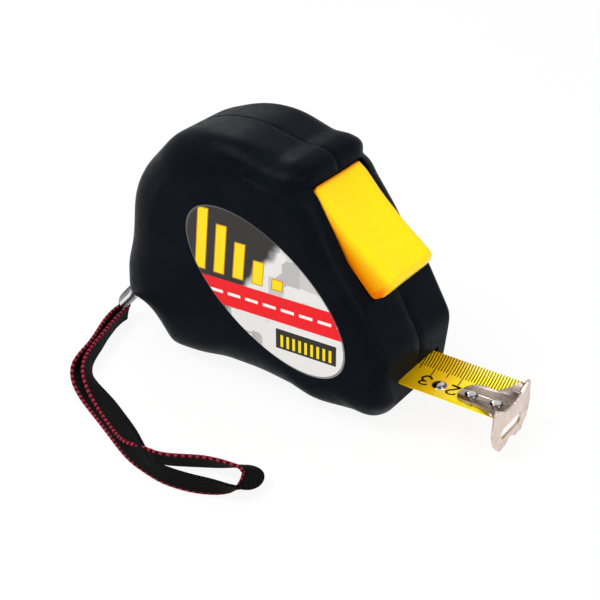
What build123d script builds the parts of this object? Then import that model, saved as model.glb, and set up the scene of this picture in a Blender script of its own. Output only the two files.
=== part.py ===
"""Pocket tape measure with a rubber covered case, a sliding thumb lock and a wrist strap.

The origin is on the flat base, on the symmetry plane. +X is the way the blade comes out, +Z is up,
and the side with the large oval label looks towards -Y. All sizes are in millimetres.
"""

import os
from math import cos, degrees, pi, radians, sin, sqrt, tan

from build123d import *

os.makedirs("parts", exist_ok=True)

# ---------------------------------------------------------------- driving dimensions
# blade: a steel strip with a curved section, hollow side up
blade_width = 25.0  # flat width, before it is curved
blade_thickness = 0.2
blade_radius = 18.0  # underside of the curved section
blade_z = 11.1  # underside of the strip on the centre line
blade_shown = 33.0  # from the case to the inner face of the hook, at rest
tail_length = 60.0  # straight strip kept inside the case
hook_float = 0.5  # the hook slides this far each way, to cancel its own thickness

# winding
tape_length = 7500.0
winding_pitch = 0.197  # thickness that one turn of blade adds to the coil
hub_radius = 20.0
hub_wall = 1.8
coil_x = -8.0
coil_clearance = 1.2  # between the coil and the edges of the strip below it
flange_thickness = 1.2
flange_gap = 0.4
flange_radius = 28.0
arbor_radius = 4.0
spring_thickness = 0.5
spring_pitch = 1.8
spring_turns = 6

# case
shell_wall = 2.2
grip_thickness = 2.0
side_room = 3.7  # from the reel to the inner face of the shell
head_room = 6.0
rear_room = 16.3
brake_room = 26.6
side_round = 5.0
step_length = 18.0  # from the rear of the case to its flat base
base_slope = 3.0  # length of the short slope between that step and the base
label_angle = -34.3
label_length = 71.0
label_height = 37.4
label_x = 7.4
label_z = 38.6
label_thickness = 0.15
label_sunk = 0.25  # the label lies this much below the rubber around it
window_gap = 0.15
screw_radius = 1.25
screw_head_radius = 2.6
screw_head_height = 1.8
post_radius = 3.2
mouth_height = 9.0
mouth_depth = 8.0
rivet_groove = 0.6  # depth of the channels that let the rivets pass

# thumb lock
lock_angle = 45.5  # the button slides forward and down at this angle
lock_travel = 6.0
shoe_travel = 1.2
button_length = 39.3
button_width = 27.5
button_depth = 6.9  # from the rear end of its top face to its base
button_wall = 2.2
lip_length = 4.1  # rounded front end of the button
button_round = 1.6
button_top = 3.6  # thickness over its hollow, at the rear
bed_thickness = 2.2
arm_length_x = 6.0
arm_width = 8.0
shoe_x = 30.0
shoe_length = 8.0
shoe_width = 15.6
pad_thickness = 2.0

# hook and rivets
hook_thickness = 0.9
hook_width = 23.6
tongue_length = 17.6
tongue_end_width = 10.0
leg_drop = 10.4  # from the underside of the blade to the tips of the leg
rivet_radius = 1.2
rivet_head_radius = 2.5
rivet_head_height = 0.6
rivet_spacing = 8.8
stop_rivet_from_zero = 24.8
stop_rivet_radius = 1.6

# ring and strap
pin_radius = 1.0
ring_gap = 0.3
ring_thickness = 0.7
ring_width = 5.5
ring_reach = 14.4  # between the centres of its two round ends
ring_tilt = 40.0  # from hanging straight down, towards the rear
strap_thickness = 1.2
strap_width = 8.5
eye_width = 5.0
floor_gap = 0.3

# running clearances
slide_gap = 0.1
bore_gap = 0.05

# ---------------------------------------------------------------- derived places
half_arc = degrees(blade_width / 2 / blade_radius)
half_chord = blade_radius * sin(radians(half_arc))
blade_rise = blade_radius * (1 - cos(radians(half_arc)))
blade_axis_z = blade_z + blade_radius
blade_top = blade_z + blade_thickness
coil_radius = sqrt(hub_radius**2 + tape_length * winding_pitch / pi)
coil_z = blade_z + blade_rise + coil_clearance + coil_radius
skin = grip_thickness + shell_wall
reel_half = blade_width / 2 + flange_gap + flange_thickness
cavity_half = reel_half + side_room
shell_half = cavity_half + shell_wall
case_half = shell_half + grip_thickness
case_height = coil_z + coil_radius + head_room + skin
rear_x = coil_x - coil_radius - rear_room - skin
front_x = coil_x + coil_radius + brake_room + skin
hook_face = front_x - 0.3 + blade_shown
tail_x = front_x - tail_length
blade_end = hook_face - hook_float - slide_gap

# corners of the case, seen from the side
brow = (front_x - 32.8, case_height - 4.7)
nose = (front_x - 7.3, 41.5)
mouth_low = blade_z - 3.1
mouth_half = half_chord + 0.9

# pieces of the lock are drawn along the direction in which it slides
lock_plane = Plane(
    origin=(brow[0] + 1.0, 0, brow[1] - 6.0),
    x_dir=(cos(radians(lock_angle)), 0, -sin(radians(lock_angle))),
    z_dir=(0, -1, 0),
)
bed_level = -button_depth - slide_gap
window_half = button_width / 2 + 0.3
travel_x = lock_travel * cos(radians(lock_angle))
travel_z = lock_travel * sin(radians(lock_angle))
wedge_slope = (travel_z - shoe_travel) / travel_x
arm_x = shoe_x - arm_length_x / 2
arm_low = blade_top + 1.6 + travel_z  # lower front corner of the arm
arm_tip = arm_low + wedge_slope * arm_length_x

screw_places = [
    (front_x - 9.8, 26.5),
    (rear_x + step_length, 20.5),
    (rear_x + 18.5, case_height - 17.5),
    (brow[0] - 9.5, brow[1] - 4.5),
]
rivet_places = [hook_face - 4.7 - rivet_spacing, hook_face - 4.7]
groove_width = 2 * rivet_head_radius + 0.8

pin_x = rear_x + 3.8
pin_z = 17.0
pocket_half = ring_width / 2 + 12.25
pocket_depth = 7.0
pocket_top = pin_z + 4.5
block_depth = pocket_depth + 2.5
pin_half = pocket_half + 1.4
ring_y = -9.25
ring_inner = pin_radius + ring_gap
ring_outer = ring_inner + ring_thickness


# ---------------------------------------------------------------- shared profiles
def case_outline(inset=0.0):
    """Side view of the case as a face on the current plane, with every side moved in by inset."""
    corners = [
        ((rear_x + step_length + base_slope, 0), 6),
        ((front_x - 5.8, 0), 6),
        ((front_x, 9), 8),
        ((front_x, 26), 8),
        (nose, 25),
        (brow, 6),
        ((brow[0] - 31.5, case_height), 50),
        ((rear_x + 1.5, case_height), 39),
        ((rear_x + 2.5, 38), 6),
        ((rear_x, 28), 6),
        ((rear_x, 13), 5.5),
        ((rear_x + 11, 10.5), 6),
        ((rear_x + step_length, 4), 6),
    ]
    with BuildLine() as outline:
        FilletPolyline(*[point for point, _ in corners], radius=[r for _, r in corners], close=True)
    make_face(outline.edges())
    if inset:
        offset(amount=-inset, kind=Kind.INTERSECTION)


def cavity_outline():
    """Side view of the room inside the shells, less the solid round the ring and under the lock."""
    case_outline(skin)
    with Locations((rear_x, 0)):
        Rectangle(block_depth, pocket_top + shell_wall, align=(Align.MIN, Align.MIN), mode=Mode.SUBTRACT)
    far = case_height
    low = bed_level - bed_thickness
    rear = -0.3 - bed_thickness
    bed = [(rear, low), (far, low), (far, far), (rear, far)]
    with BuildLine() as above_bed:
        Polyline(*[to_side(*point) for point in bed], close=True)
    make_face(above_bed.edges(), mode=Mode.SUBTRACT)


def to_side(along, above):
    """Turns a place on the lock plane into (x, z)."""
    place = lock_plane.from_local_coords(Vector(along, above, 0))
    return place.X, place.Z


def along_at(x, above):
    """How far along the lock plane a point at x lies, when it is that far above the plane."""
    return (x - lock_plane.origin.X - above * sin(radians(lock_angle))) / cos(radians(lock_angle))


def label_oval(margin=0.0):
    """The oval of the label, with its edge moved in by margin."""
    with Locations((label_x, label_z)):
        Ellipse(label_length / 2 - margin, label_height / 2 - margin, rotation=label_angle)


def curved_strip(radius, thickness, width):
    """Cross section of a strip curved about the blade's axis; radius is its underside."""
    half = degrees(width / 2 / radius)
    with BuildLine() as section:
        low = CenterArc((0, blade_axis_z), radius, 270 - half, 2 * half)
        high = CenterArc((0, blade_axis_z), radius - thickness, 270 - half, 2 * half)
        Line(low @ 0, high @ 0)
        Line(low @ 1, high @ 1)
    make_face(section.edges())


def cut_case_openings():
    """Takes the button's window, the blade's mouth and the ring's pocket out of one half."""
    with BuildSketch(lock_plane) as window:
        with Locations((-0.3, bed_level)):
            Rectangle(case_height, case_height, align=(Align.MIN, Align.MIN))
    extrude(window.sketch, amount=window_half, mode=Mode.SUBTRACT)
    with BuildSketch(Plane.XZ) as mouth:
        with Locations((front_x - mouth_depth, mouth_low)):
            Rectangle(2 * mouth_depth, mouth_height, align=(Align.MIN, Align.MIN))
    extrude(mouth.sketch, amount=mouth_half, mode=Mode.SUBTRACT)
    with BuildSketch(Plane.XZ) as pocket:
        with Locations((rear_x - 10, 0)):
            Rectangle(10 + pocket_depth, pocket_top, align=(Align.MIN, Align.MIN))
    extrude(pocket.sketch, amount=pocket_half, mode=Mode.SUBTRACT)


# ---------------------------------------------------------------- case shells
with BuildPart() as shell_blank:
    with BuildSketch(Plane.XZ):
        case_outline(grip_thickness)
    extrude(amount=shell_half)
    fillet(shell_blank.faces().sort_by(Axis.Y)[0].outer_wire().edges(), side_round - grip_thickness)

with BuildPart() as shell_common:
    add(shell_blank.part)
    with BuildSketch(Plane.XZ.offset(shell_half)):
        label_oval(window_gap)
    extrude(amount=grip_thickness - label_sunk - label_thickness)
    with BuildSketch(Plane.XZ):
        cavity_outline()
    extrude(amount=cavity_half, mode=Mode.SUBTRACT)
    # posts for the screws, from the side wall to the joint between the halves
    with BuildSketch(Plane.XZ):
        with Locations(*screw_places):
            Circle(post_radius)
    extrude(amount=cavity_half)
    # seat of the arbor
    with BuildSketch(Plane.XZ.offset(reel_half + flange_gap)):
        with Locations((coil_x, coil_z)):
            Circle(arbor_radius + 3)
    extrude(amount=cavity_half - reel_half - flange_gap)
    with BuildSketch(Plane.XZ):
        with Locations((coil_x, coil_z)):
            Circle(arbor_radius)
    extrude(amount=cavity_half, mode=Mode.SUBTRACT)
    # upright guide for the brake shoe
    guide_low = blade_z + blade_rise + 0.5
    with BuildSketch(Plane.XY.offset(guide_low)):
        with Locations((shoe_x, -cavity_half)):
            Rectangle(shoe_length + 2.8, cavity_half - arm_width / 2 - 1, align=(Align.CENTER, Align.MIN))
        with Locations((shoe_x, 0)):
            Rectangle(shoe_length + 2 * slide_gap, shoe_width + 2 * slide_gap, mode=Mode.SUBTRACT)
    extrude(amount=8.5)
    cut_case_openings()
    # slot in the bed for the arm of the button
    with BuildSketch(lock_plane):
        slot_start = along_at(arm_x, bed_level) - 0.5
        slot_end = along_at(arm_x + arm_length_x, bed_level - bed_thickness) + lock_travel + 0.5
        with Locations((slot_start, bed_level - 2 * bed_thickness)):
            Rectangle(slot_end - slot_start, 3 * bed_thickness, align=(Align.MIN, Align.MIN))
    extrude(amount=arm_width / 2 + 0.4, mode=Mode.SUBTRACT)
    # bores for the strap pin
    with BuildSketch(Plane.XZ):
        with Locations((pin_x, pin_z)):
            Circle(pin_radius)
    extrude(amount=pin_half, mode=Mode.SUBTRACT)

with BuildPart() as left_shell:
    add(shell_common.part)
    with BuildSketch(Plane.XZ):
        with Locations(*screw_places):
            Circle(screw_radius)
    extrude(amount=cavity_half - 3, mode=Mode.SUBTRACT)

with BuildPart() as right_shell:
    add(shell_common.part)
    mirror(about=Plane.XZ, mode=Mode.REPLACE)
    with BuildSketch(Plane.XZ.offset(-case_half)):
        with Locations(*screw_places):
            Circle(screw_radius + bore_gap)
    extrude(amount=case_half, mode=Mode.SUBTRACT)
    with BuildSketch(Plane.XZ.offset(-case_half)):
        with Locations(*screw_places):
            Circle(screw_head_radius + bore_gap)
    extrude(amount=grip_thickness + screw_head_height, mode=Mode.SUBTRACT)

# ---------------------------------------------------------------- rubber grips
with BuildPart() as left_grip:
    with BuildSketch(Plane.XZ):
        case_outline()
    extrude(amount=case_half)
    fillet(left_grip.faces().sort_by(Axis.Y)[0].outer_wire().edges(), side_round)
    add(shell_blank.part, mode=Mode.SUBTRACT)
    with BuildSketch(Plane.XZ.offset(shell_half - 1)):
        label_oval()
    extrude(amount=grip_thickness + 2, mode=Mode.SUBTRACT)
    cut_case_openings()

with BuildPart() as right_grip:
    add(left_grip.part)
    mirror(about=Plane.XZ, mode=Mode.REPLACE)
    with BuildSketch(Plane.XZ.offset(-case_half)):
        with Locations(*screw_places):
            Circle(screw_head_radius + 0.4)
    extrude(amount=case_half, mode=Mode.SUBTRACT)

# ---------------------------------------------------------------- labels
with BuildPart() as label_left:
    with BuildSketch(Plane.XZ.offset(case_half - label_sunk - label_thickness)):
        label_oval(window_gap + 0.2)
    extrude(amount=label_thickness)

with BuildPart() as label_right:
    add(label_left.part)
    mirror(about=Plane.XZ, mode=Mode.REPLACE)

# ---------------------------------------------------------------- screws
with BuildPart() as case_screws:
    with BuildSketch(Plane.XZ.offset(-shell_half + screw_head_height)):
        with Locations(*screw_places):
            Circle(screw_radius)
    extrude(amount=shell_half - screw_head_height + cavity_half - 4)
    with BuildSketch(Plane.XZ.offset(-shell_half)):
        with Locations(*screw_places):
            Circle(screw_head_radius)
            RegularPolygon(screw_radius, 6, mode=Mode.SUBTRACT)
    extrude(amount=screw_head_height - 0.4)
    with BuildSketch(Plane.XZ.offset(-shell_half + screw_head_height - 0.4)):
        with Locations(*screw_places):
            Circle(screw_head_radius)
    extrude(amount=0.4)

# ---------------------------------------------------------------- reel
with BuildPart() as arbor:
    with BuildSketch(Plane.XZ.offset(-cavity_half)):
        with Locations((coil_x, coil_z)):
            Circle(arbor_radius)
    extrude(amount=2 * cavity_half)
    # flat slot that holds the inner end of the spring
    with BuildSketch(Plane.XZ.offset(-blade_width / 2)):
        with Locations((coil_x, coil_z)):
            Rectangle(spring_thickness + 0.5, 2 * arbor_radius + 1)
    extrude(amount=blade_width, mode=Mode.SUBTRACT)

with BuildPart() as drum:
    with BuildSketch(Plane.XZ.offset(-blade_width / 2 - flange_gap)):
        with Locations((coil_x, coil_z)):
            Circle(hub_radius)
            Circle(hub_radius - hub_wall, mode=Mode.SUBTRACT)
    extrude(amount=blade_width + 2 * flange_gap)
    with BuildSketch(Plane.XZ.offset(-reel_half)):
        with Locations((coil_x, coil_z)):
            Circle(flange_radius)
            Circle(arbor_radius + bore_gap, mode=Mode.SUBTRACT)
    extrude(amount=flange_thickness)

with BuildPart() as drum_cover:
    with BuildSketch(Plane.XZ.offset(reel_half - flange_thickness)):
        with Locations((coil_x, coil_z)):
            Circle(flange_radius)
            Circle(arbor_radius + bore_gap, mode=Mode.SUBTRACT)
    extrude(amount=flange_thickness)

with BuildPart() as blade_coil:
    with BuildSketch(Plane.XZ.offset(-blade_width / 2)):
        with Locations((coil_x, coil_z)):
            Circle(coil_radius)
            Circle(hub_radius, mode=Mode.SUBTRACT)
    extrude(amount=blade_width)

spring_outer = hub_radius - hub_wall - 0.1 - spring_thickness / 2
with BuildPart() as power_spring:
    with BuildSketch(Plane.XZ.offset(-blade_width / 2 + 1)):
        with BuildLine():
            for half_turn in range(2 * spring_turns):
                side = half_turn % 2
                middle = (coil_x - side * spring_pitch / 2, coil_z)
                CenterArc(middle, spring_outer - half_turn * spring_pitch / 2, 180 * side, 180)
        trace(line_width=spring_thickness)
    extrude(amount=blade_width - 2)

# ---------------------------------------------------------------- blade, hook and rivets
with BuildPart() as blade:
    with BuildSketch(Plane.YZ.offset(tail_x)):
        curved_strip(blade_radius, blade_thickness, blade_width)
    extrude(amount=blade_end - tail_x)
    with BuildSketch(Plane.XY):
        with Locations(*[(x, 0) for x in rivet_places]):
            Circle(rivet_radius)
        with Locations((hook_face - stop_rivet_from_zero, 0)):
            Circle(stop_rivet_radius)
    extrude(amount=blade_axis_z, mode=Mode.SUBTRACT)

tongue_z = blade_top + bore_gap
with BuildPart() as end_hook:
    with BuildSketch(Plane.YZ.offset(hook_face - tongue_length)):
        curved_strip(blade_axis_z - tongue_z, hook_thickness, hook_width)
    extrude(amount=tongue_length + hook_thickness)
    with BuildSketch(Plane.XY):
        flare = hook_face - 5.2
        neck = hook_face - 10.6
        rear = hook_face - tongue_length
        half_end = tongue_end_width / 2
        half_hook = hook_width / 2
        side = [
            (rear, half_end), (neck, half_end + 0.4), (flare, half_hook - 0.6), (hook_face - 0.9, half_hook),
            (hook_face - 0.9, half_end + 2.6), (hook_face + hook_thickness, half_end + 2.6),
        ]
        radii = [half_end - 0.1, 7, 2.4, 0.8, 0.4, 0]
        outline = side + [(x, -y) for x, y in reversed(side)]
        with BuildLine():
            FilletPolyline(*outline, radius=radii + radii[::-1], close=True)
        make_face()
    extrude(amount=blade_axis_z, mode=Mode.INTERSECT)
    # slots that let the hook slide on its rivets
    with BuildSketch(Plane.XY):
        with Locations(*[(x, 0) for x in rivet_places]):
            slot = 2 * (rivet_radius + hook_float + slide_gap)
            SlotOverall(slot, 2 * (rivet_radius + bore_gap))
    extrude(amount=blade_axis_z, mode=Mode.SUBTRACT)
    # leg that catches an edge, with two tips and a slot for a nail
    leg_tip = blade_z - leg_drop
    ear_z = blade_axis_z - sqrt((blade_radius - 1.1) ** 2 - half_hook**2) + 0.2
    with BuildSketch(Plane.YZ.offset(hook_face)):
        with BuildLine():
            right = [
                (0, leg_tip + 2.0), (3.4, leg_tip), (7.4, leg_tip), (10.9, leg_tip + 3.8),
                (half_hook + 0.4, leg_tip + 8.0), (half_hook - 0.3, ear_z),
            ]
            ears = [(half_hook - 2.0, ear_z)]
            bends = [1.6, 1.8, 3.5, 3.0, 0.5, 0.4]
            sag = [(half_hook - 5.5, ear_z - 2.2), (0, blade_top + 0.5)]
            leg = right + ears + sag + [(-y, z) for y, z in reversed(right[1:] + ears + sag[:1])]
            turns = [1.2] + bends[:5] + [0.4, 6, 2 / 3 * blade_radius]
            turns = turns + [6, 0.4] + bends[4::-1]
            FilletPolyline(*leg, radius=turns, close=True)
        make_face()
        with Locations((0, leg_tip + 5.6)):
            SlotOverall(13.6, 4.0, mode=Mode.SUBTRACT)
    extrude(amount=hook_thickness)

tongue_top = tongue_z + hook_thickness
head_lift = rivet_head_radius**2 / 2 / (blade_radius - 1)  # the dished tongue rises this much under a head
with BuildPart() as hook_rivets:
    head_z = tongue_top + head_lift + slide_gap
    with BuildSketch(Plane.XY.offset(blade_z - 0.35)):
        with Locations(*[(x, 0) for x in rivet_places]):
            Circle(rivet_radius)
    extrude(amount=head_z - blade_z + 0.35)
    with BuildSketch(Plane.XY.offset(head_z)):
        with Locations(*[(x, 0) for x in rivet_places]):
            Circle(rivet_head_radius)
    extrude(amount=rivet_head_height)
    fillet(hook_rivets.edges().group_by(Axis.Z)[-1], rivet_head_height * 0.8)
    with BuildSketch(Plane.XY.offset(blade_z - 0.35)):
        with Locations(*[(x, 0) for x in rivet_places]):
            Circle(rivet_head_radius - 0.5)
    extrude(amount=0.33)

with BuildPart() as stop_rivet:
    stop_place = (hook_face - stop_rivet_from_zero, 0)
    with BuildSketch(Plane.XY.offset(blade_z - 0.3)):
        with Locations(stop_place):
            Circle(stop_rivet_radius)
    extrude(amount=blade_thickness + 0.6)
    with BuildSketch(Plane.XY.offset(blade_z - 0.3)):
        with Locations(stop_place):
            Circle(stop_rivet_radius + 0.8)
    extrude(amount=0.28)
    with BuildSketch(Plane.XY.offset(blade_top + 0.17)):
        with Locations(stop_place):
            Circle(stop_rivet_radius + 0.8)
    extrude(amount=0.4)
    fillet(stop_rivet.edges().group_by(Axis.Z)[-1], 0.3)
    with BuildSketch(Plane.XY):
        with Locations(stop_place):
            Circle(stop_rivet_radius - 0.7)
    extrude(amount=blade_axis_z, mode=Mode.SUBTRACT)

# ---------------------------------------------------------------- mouth bumper
with BuildPart() as mouth_bumper:
    with BuildSketch(Plane.YZ.offset(front_x - mouth_depth)):
        with Locations((0, mouth_low)):
            Rectangle(2 * mouth_half, blade_z + blade_rise - mouth_low, align=(Align.CENTER, Align.MIN))
        with Locations((0, blade_axis_z)):
            Circle(blade_radius + 0.25, mode=Mode.SUBTRACT)
        with Locations((0, blade_z - rivet_groove)):
            Rectangle(groove_width, blade_rise, align=(Align.CENTER, Align.MIN), mode=Mode.SUBTRACT)
    extrude(amount=mouth_depth - 0.4)

# ---------------------------------------------------------------- thumb lock
with BuildPart() as lock_button:
    with BuildSketch(lock_plane):
        with BuildLine():
            dip = [(0, 0), (0.25568, -0.5), (0.56818, 0.4), (0.85227, 2.0), (1, 2.7)]
            Spline(*[(share * (button_length - lip_length), above) for share, above in dip])
            FilletPolyline(
                (button_length - lip_length, 2.7), (button_length - 1.5, 2.9), (button_length, -2.8),
                (button_length - 0.7, 1.8 - button_depth), (button_length - 3.7, -button_depth),
                (0, -button_depth), (0, 0), radius=[button_round, 3] + 3 * [button_round],
            )
        make_face()
    extrude(amount=button_width / 2, both=True)
    side_faces = lock_button.faces().filter_by(Axis.Y)
    fillet(side_faces.edges().filter_by(GeomType.BSPLINE), button_round - 0.2)
    # hollow underneath, then the arm that reaches down to the brake
    with BuildSketch(lock_plane):
        with Locations((button_wall, -button_depth)):
            Rectangle(
                button_length - lip_length - 1.7 - button_wall, button_depth - button_top, align=(Align.MIN, Align.MIN)
            )
    extrude(amount=button_width / 2 - button_wall, both=True, mode=Mode.SUBTRACT)
    with BuildSketch(Plane.XZ):
        arm_root = 0.5 - button_top
        with BuildLine():
            Polyline(
                (arm_x, arm_tip), (arm_x + arm_length_x, arm_low),
                to_side(along_at(arm_x + arm_length_x, arm_root), arm_root),
                to_side(along_at(arm_x, arm_root), arm_root), close=True,
            )
        make_face()
    extrude(amount=arm_width / 2, both=True)

shoe_low = blade_top + shoe_travel + slide_gap + pad_thickness
with BuildPart() as brake_shoe:
    with BuildSketch(Plane.XZ):
        half_shoe = shoe_length / 2
        top_at_rear = arm_tip - 0.15 + wedge_slope * (half_shoe - arm_length_x / 2)
        with BuildLine():
            Polyline(
                (shoe_x - half_shoe, shoe_low), (shoe_x + half_shoe, shoe_low),
                (shoe_x + half_shoe, top_at_rear - wedge_slope * shoe_length),
                (shoe_x - half_shoe, top_at_rear), close=True,
            )
        make_face()
    extrude(amount=shoe_width / 2, both=True)

with BuildPart() as brake_pad:
    pad_radius = blade_radius - blade_thickness
    with BuildSketch(Plane.YZ.offset(shoe_x - shoe_length / 2 + 0.5)):
        with Locations((0, blade_axis_z + shoe_travel + slide_gap)):
            Circle(pad_radius)
        with Locations((0, shoe_low)):
            Rectangle(shoe_width - 1, 2 * pad_thickness, mode=Mode.INTERSECT)
        with Locations((0, shoe_low)):
            Rectangle(shoe_width, 2 * pad_radius, align=(Align.CENTER, Align.MIN), mode=Mode.SUBTRACT)
        with Locations((0, blade_top + shoe_travel)):
            Rectangle(groove_width, 2 * (slide_gap + rivet_groove), mode=Mode.SUBTRACT)
    extrude(amount=shoe_length - 1)

# ---------------------------------------------------------------- strap ring
ring_direction = (-sin(radians(ring_tilt)), 0, -cos(radians(ring_tilt)))
ring_plane = Plane(origin=(pin_x, 0, pin_z), x_dir=ring_direction, z_dir=(0, -1, 0))

with BuildPart() as strap_pin:
    with BuildSketch(Plane.XZ.offset(-pin_half)):
        with Locations((pin_x, pin_z)):
            Circle(pin_radius)
    extrude(amount=2 * pin_half)

with BuildPart() as strap_ring:
    with BuildSketch(ring_plane.offset(-ring_y - ring_width / 2)):
        with Locations((ring_reach / 2, 0)):
            SlotCenterToCenter(ring_reach, 2 * ring_outer)
            SlotCenterToCenter(ring_reach, 2 * ring_inner, mode=Mode.SUBTRACT)
    extrude(amount=ring_width)

# fold of webbing round the front side of the ring; local x runs towards -Y, local y along +b
eye_end = ring_reach
eye_wall = (ring_inner + ring_outer) / 2
eye_room = ring_thickness / 2 + 0.15
eye_left = -ring_y + ring_width / 2
with BuildPart() as strap_eye:
    fold_centre = -ring_y - ring_width / 2 + 0.3
    fold_origin = ring_plane.from_local_coords(Vector(eye_end - eye_width, 0, 0))
    with BuildSketch(Plane(origin=fold_origin, x_dir=(0, -1, 0), z_dir=ring_direction)):
        with Locations((fold_centre, -eye_wall)):
            Circle(eye_room + strap_thickness)
            Rectangle(14.0 - fold_centre, 2 * (eye_room + strap_thickness), align=(Align.MIN, Align.CENTER))
            Circle(eye_room, mode=Mode.SUBTRACT)
            Rectangle(
                eye_left + 0.3 - fold_centre, 2 * eye_room, align=(Align.MIN, Align.CENTER), mode=Mode.SUBTRACT
            )
    extrude(amount=eye_width)

# ---------------------------------------------------------------- wrist strap, standing on its edge
stem_route = [
    (-61.9, -14.3), (-61.2, -19.5), (-59.5, -26.0), (-57.2, -32.2), (-54.2, -38.6), (-50.2, -45.2),
    (-44.6, -51.7), (-37.4, -57.2), (-29.0, -62.3), (-20.4, -66.4), (-12.2, -71.0), (-5.0, -74.6),
    (-1.0, -76.2),
]
loop_route = [
    (-1.08, -76.83), (4.5, -78.3), (10.5, -78.6), (16.5, -77.8), (22.2, -75.8), (27.8, -73.0),
    (33.0, -69.9), (35.4, -66.0), (33.6, -62.0), (29.2, -60.9), (23.4, -62.3), (17.4, -65.2),
    (11.8, -68.6), (6.0, -72.5), (0.5, -74.9),
]


def strap_path(name, route):
    """A path of straight runs with tangent arcs at its corners, each as large as its runs allow."""
    points = [Vector(*place) for place in route]
    runs = [b - a for a, b in zip(points, points[1:])]
    radii = []
    for before, after in zip(runs, runs[1:]):
        turn = radians(before.get_angle(after))
        radii.append(0.45 * min(before.length, after.length) / tan(turn / 2))
    print(name, "radii", [round(r, 1) for r in radii], "length", round(sum(r.length for r in runs), 1))
    FilletPolyline(*points, radius=radii)


with BuildPart() as strap_stem:
    with BuildSketch(Plane.XY.offset(floor_gap)):
        with BuildLine():
            strap_path("strap_stem", stem_route)
        trace(line_width=2 * strap_thickness)
    extrude(amount=strap_width)

with BuildPart() as strap_loop:
    with BuildSketch(Plane.XY.offset(floor_gap)):
        with BuildLine():
            strap_path("strap_loop", loop_route)
        trace(line_width=strap_thickness)
    extrude(amount=strap_width)

# ---------------------------------------------------------------- one file for each piece
pieces = {
    "left_shell": left_shell,
    "right_shell": right_shell,
    "left_grip": left_grip,
    "right_grip": right_grip,
    "label_left": label_left,
    "label_right": label_right,
    "case_screws": case_screws,
    "arbor": arbor,
    "drum": drum,
    "drum_cover": drum_cover,
    "blade_coil": blade_coil,
    "power_spring": power_spring,
    "blade": blade,
    "end_hook": end_hook,
    "hook_rivets": hook_rivets,
    "stop_rivet": stop_rivet,
    "mouth_bumper": mouth_bumper,
    "lock_button": lock_button,
    "brake_shoe": brake_shoe,
    "brake_pad": brake_pad,
    "strap_pin": strap_pin,
    "strap_ring": strap_ring,
    "strap_eye": strap_eye,
    "strap_stem": strap_stem,
    "strap_loop": strap_loop,
}
for name, piece in pieces.items():
    piece.part.label = name
    export_step(piece.part, f"parts/{name}.step")
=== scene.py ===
"""Looks of a pocket tape measure: its covers, label, thumb button, blade, hook, ring, wrist strap and stage.

Lengths are in metres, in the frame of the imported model: +X is the way the blade comes out, +Z is up and the
side with the large label looks towards -Y. Routes and outlines are typed in millimetres and scaled by MM.
"""

import math

import bmesh
import bpy
import numpy as np
from bpy.props import FloatProperty, FloatVectorProperty, IntProperty, PointerProperty
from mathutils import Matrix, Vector


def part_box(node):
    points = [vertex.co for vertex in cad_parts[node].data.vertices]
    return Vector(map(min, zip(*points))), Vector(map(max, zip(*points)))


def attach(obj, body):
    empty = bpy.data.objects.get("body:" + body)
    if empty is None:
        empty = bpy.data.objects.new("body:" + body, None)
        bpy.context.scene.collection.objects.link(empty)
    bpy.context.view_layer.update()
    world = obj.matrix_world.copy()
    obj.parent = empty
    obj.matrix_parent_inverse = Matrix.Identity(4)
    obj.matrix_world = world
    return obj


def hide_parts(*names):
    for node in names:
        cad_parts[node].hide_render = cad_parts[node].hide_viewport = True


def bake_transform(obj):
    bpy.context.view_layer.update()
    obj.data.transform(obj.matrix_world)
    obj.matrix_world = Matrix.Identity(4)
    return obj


bl_info = {
    "name": "Tape Measure Looks",
    "version": (1, 0, 0),
    "blender": (4, 5, 0),
    "location": "3D View > Sidebar > Tape Measure",
    "description": "Builds the looks of a pocket tape measure round its packed model",
    "category": "Object",
}

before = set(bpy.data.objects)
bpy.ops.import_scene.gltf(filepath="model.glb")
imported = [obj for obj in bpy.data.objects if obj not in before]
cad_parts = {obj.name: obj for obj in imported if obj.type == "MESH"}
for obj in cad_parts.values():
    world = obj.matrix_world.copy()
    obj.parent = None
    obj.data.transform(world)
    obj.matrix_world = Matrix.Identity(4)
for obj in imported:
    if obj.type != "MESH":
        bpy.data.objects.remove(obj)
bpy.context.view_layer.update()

MM = 0.001
SHARP = 35.0  # an edge that bends by more degrees than this is shaded hard

case_low = Vector(map(min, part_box("left_grip")[0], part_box("right_grip")[0]))
case_high = Vector(map(max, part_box("left_grip")[1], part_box("right_grip")[1]))
blade_low, blade_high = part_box("blade")
pin_low, pin_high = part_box("strap_pin")

REAR = case_low.x
FRONT = case_high.x
TOP = case_high.z
HALF = case_high.y
BLADE_AXIS = 29.1 * MM
BLADE_UNDER = 18.0 * MM  # radius of the blade's under side
BLADE_THICKNESS = 0.2 * MM
BLADE_OVER = BLADE_UNDER - BLADE_THICKNESS
HOOK_THICKNESS = 0.9 * MM
HOOK_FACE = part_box("end_hook")[1].x - HOOK_THICKNESS  # the scale's zero
COVER_THICKNESS = 1.9 * MM
SHELL_INSET = 1.95 * MM
JOINT_GAP = 0.3 * MM  # where the skin leaves its eased joint
BORE_RADIUS = 3.1 * MM
BORE_FLOOR = 12 * MM
BORE_TOP = 26 * MM
SCREW_FLOOR = 12.8 * MM  # no screw head lies deeper than this
SCREW_SUNK = 0.5 * MM
LOCK_ANGLE = math.radians(45.5)
LOCK_ORIGIN = Vector((FRONT - 31.8 * MM, 0, TOP - 10.7 * MM))
LOCK_ALONG = Vector((math.cos(LOCK_ANGLE), 0, -math.sin(LOCK_ANGLE)))
LOCK_UP = Vector((math.sin(LOCK_ANGLE), 0, math.cos(LOCK_ANGLE)))
OVAL = {"x": 7.4 * MM, "z": 38.6 * MM, "long": 35.5 * MM, "short": 18.7 * MM, "turn": math.radians(-34.3)}


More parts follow.
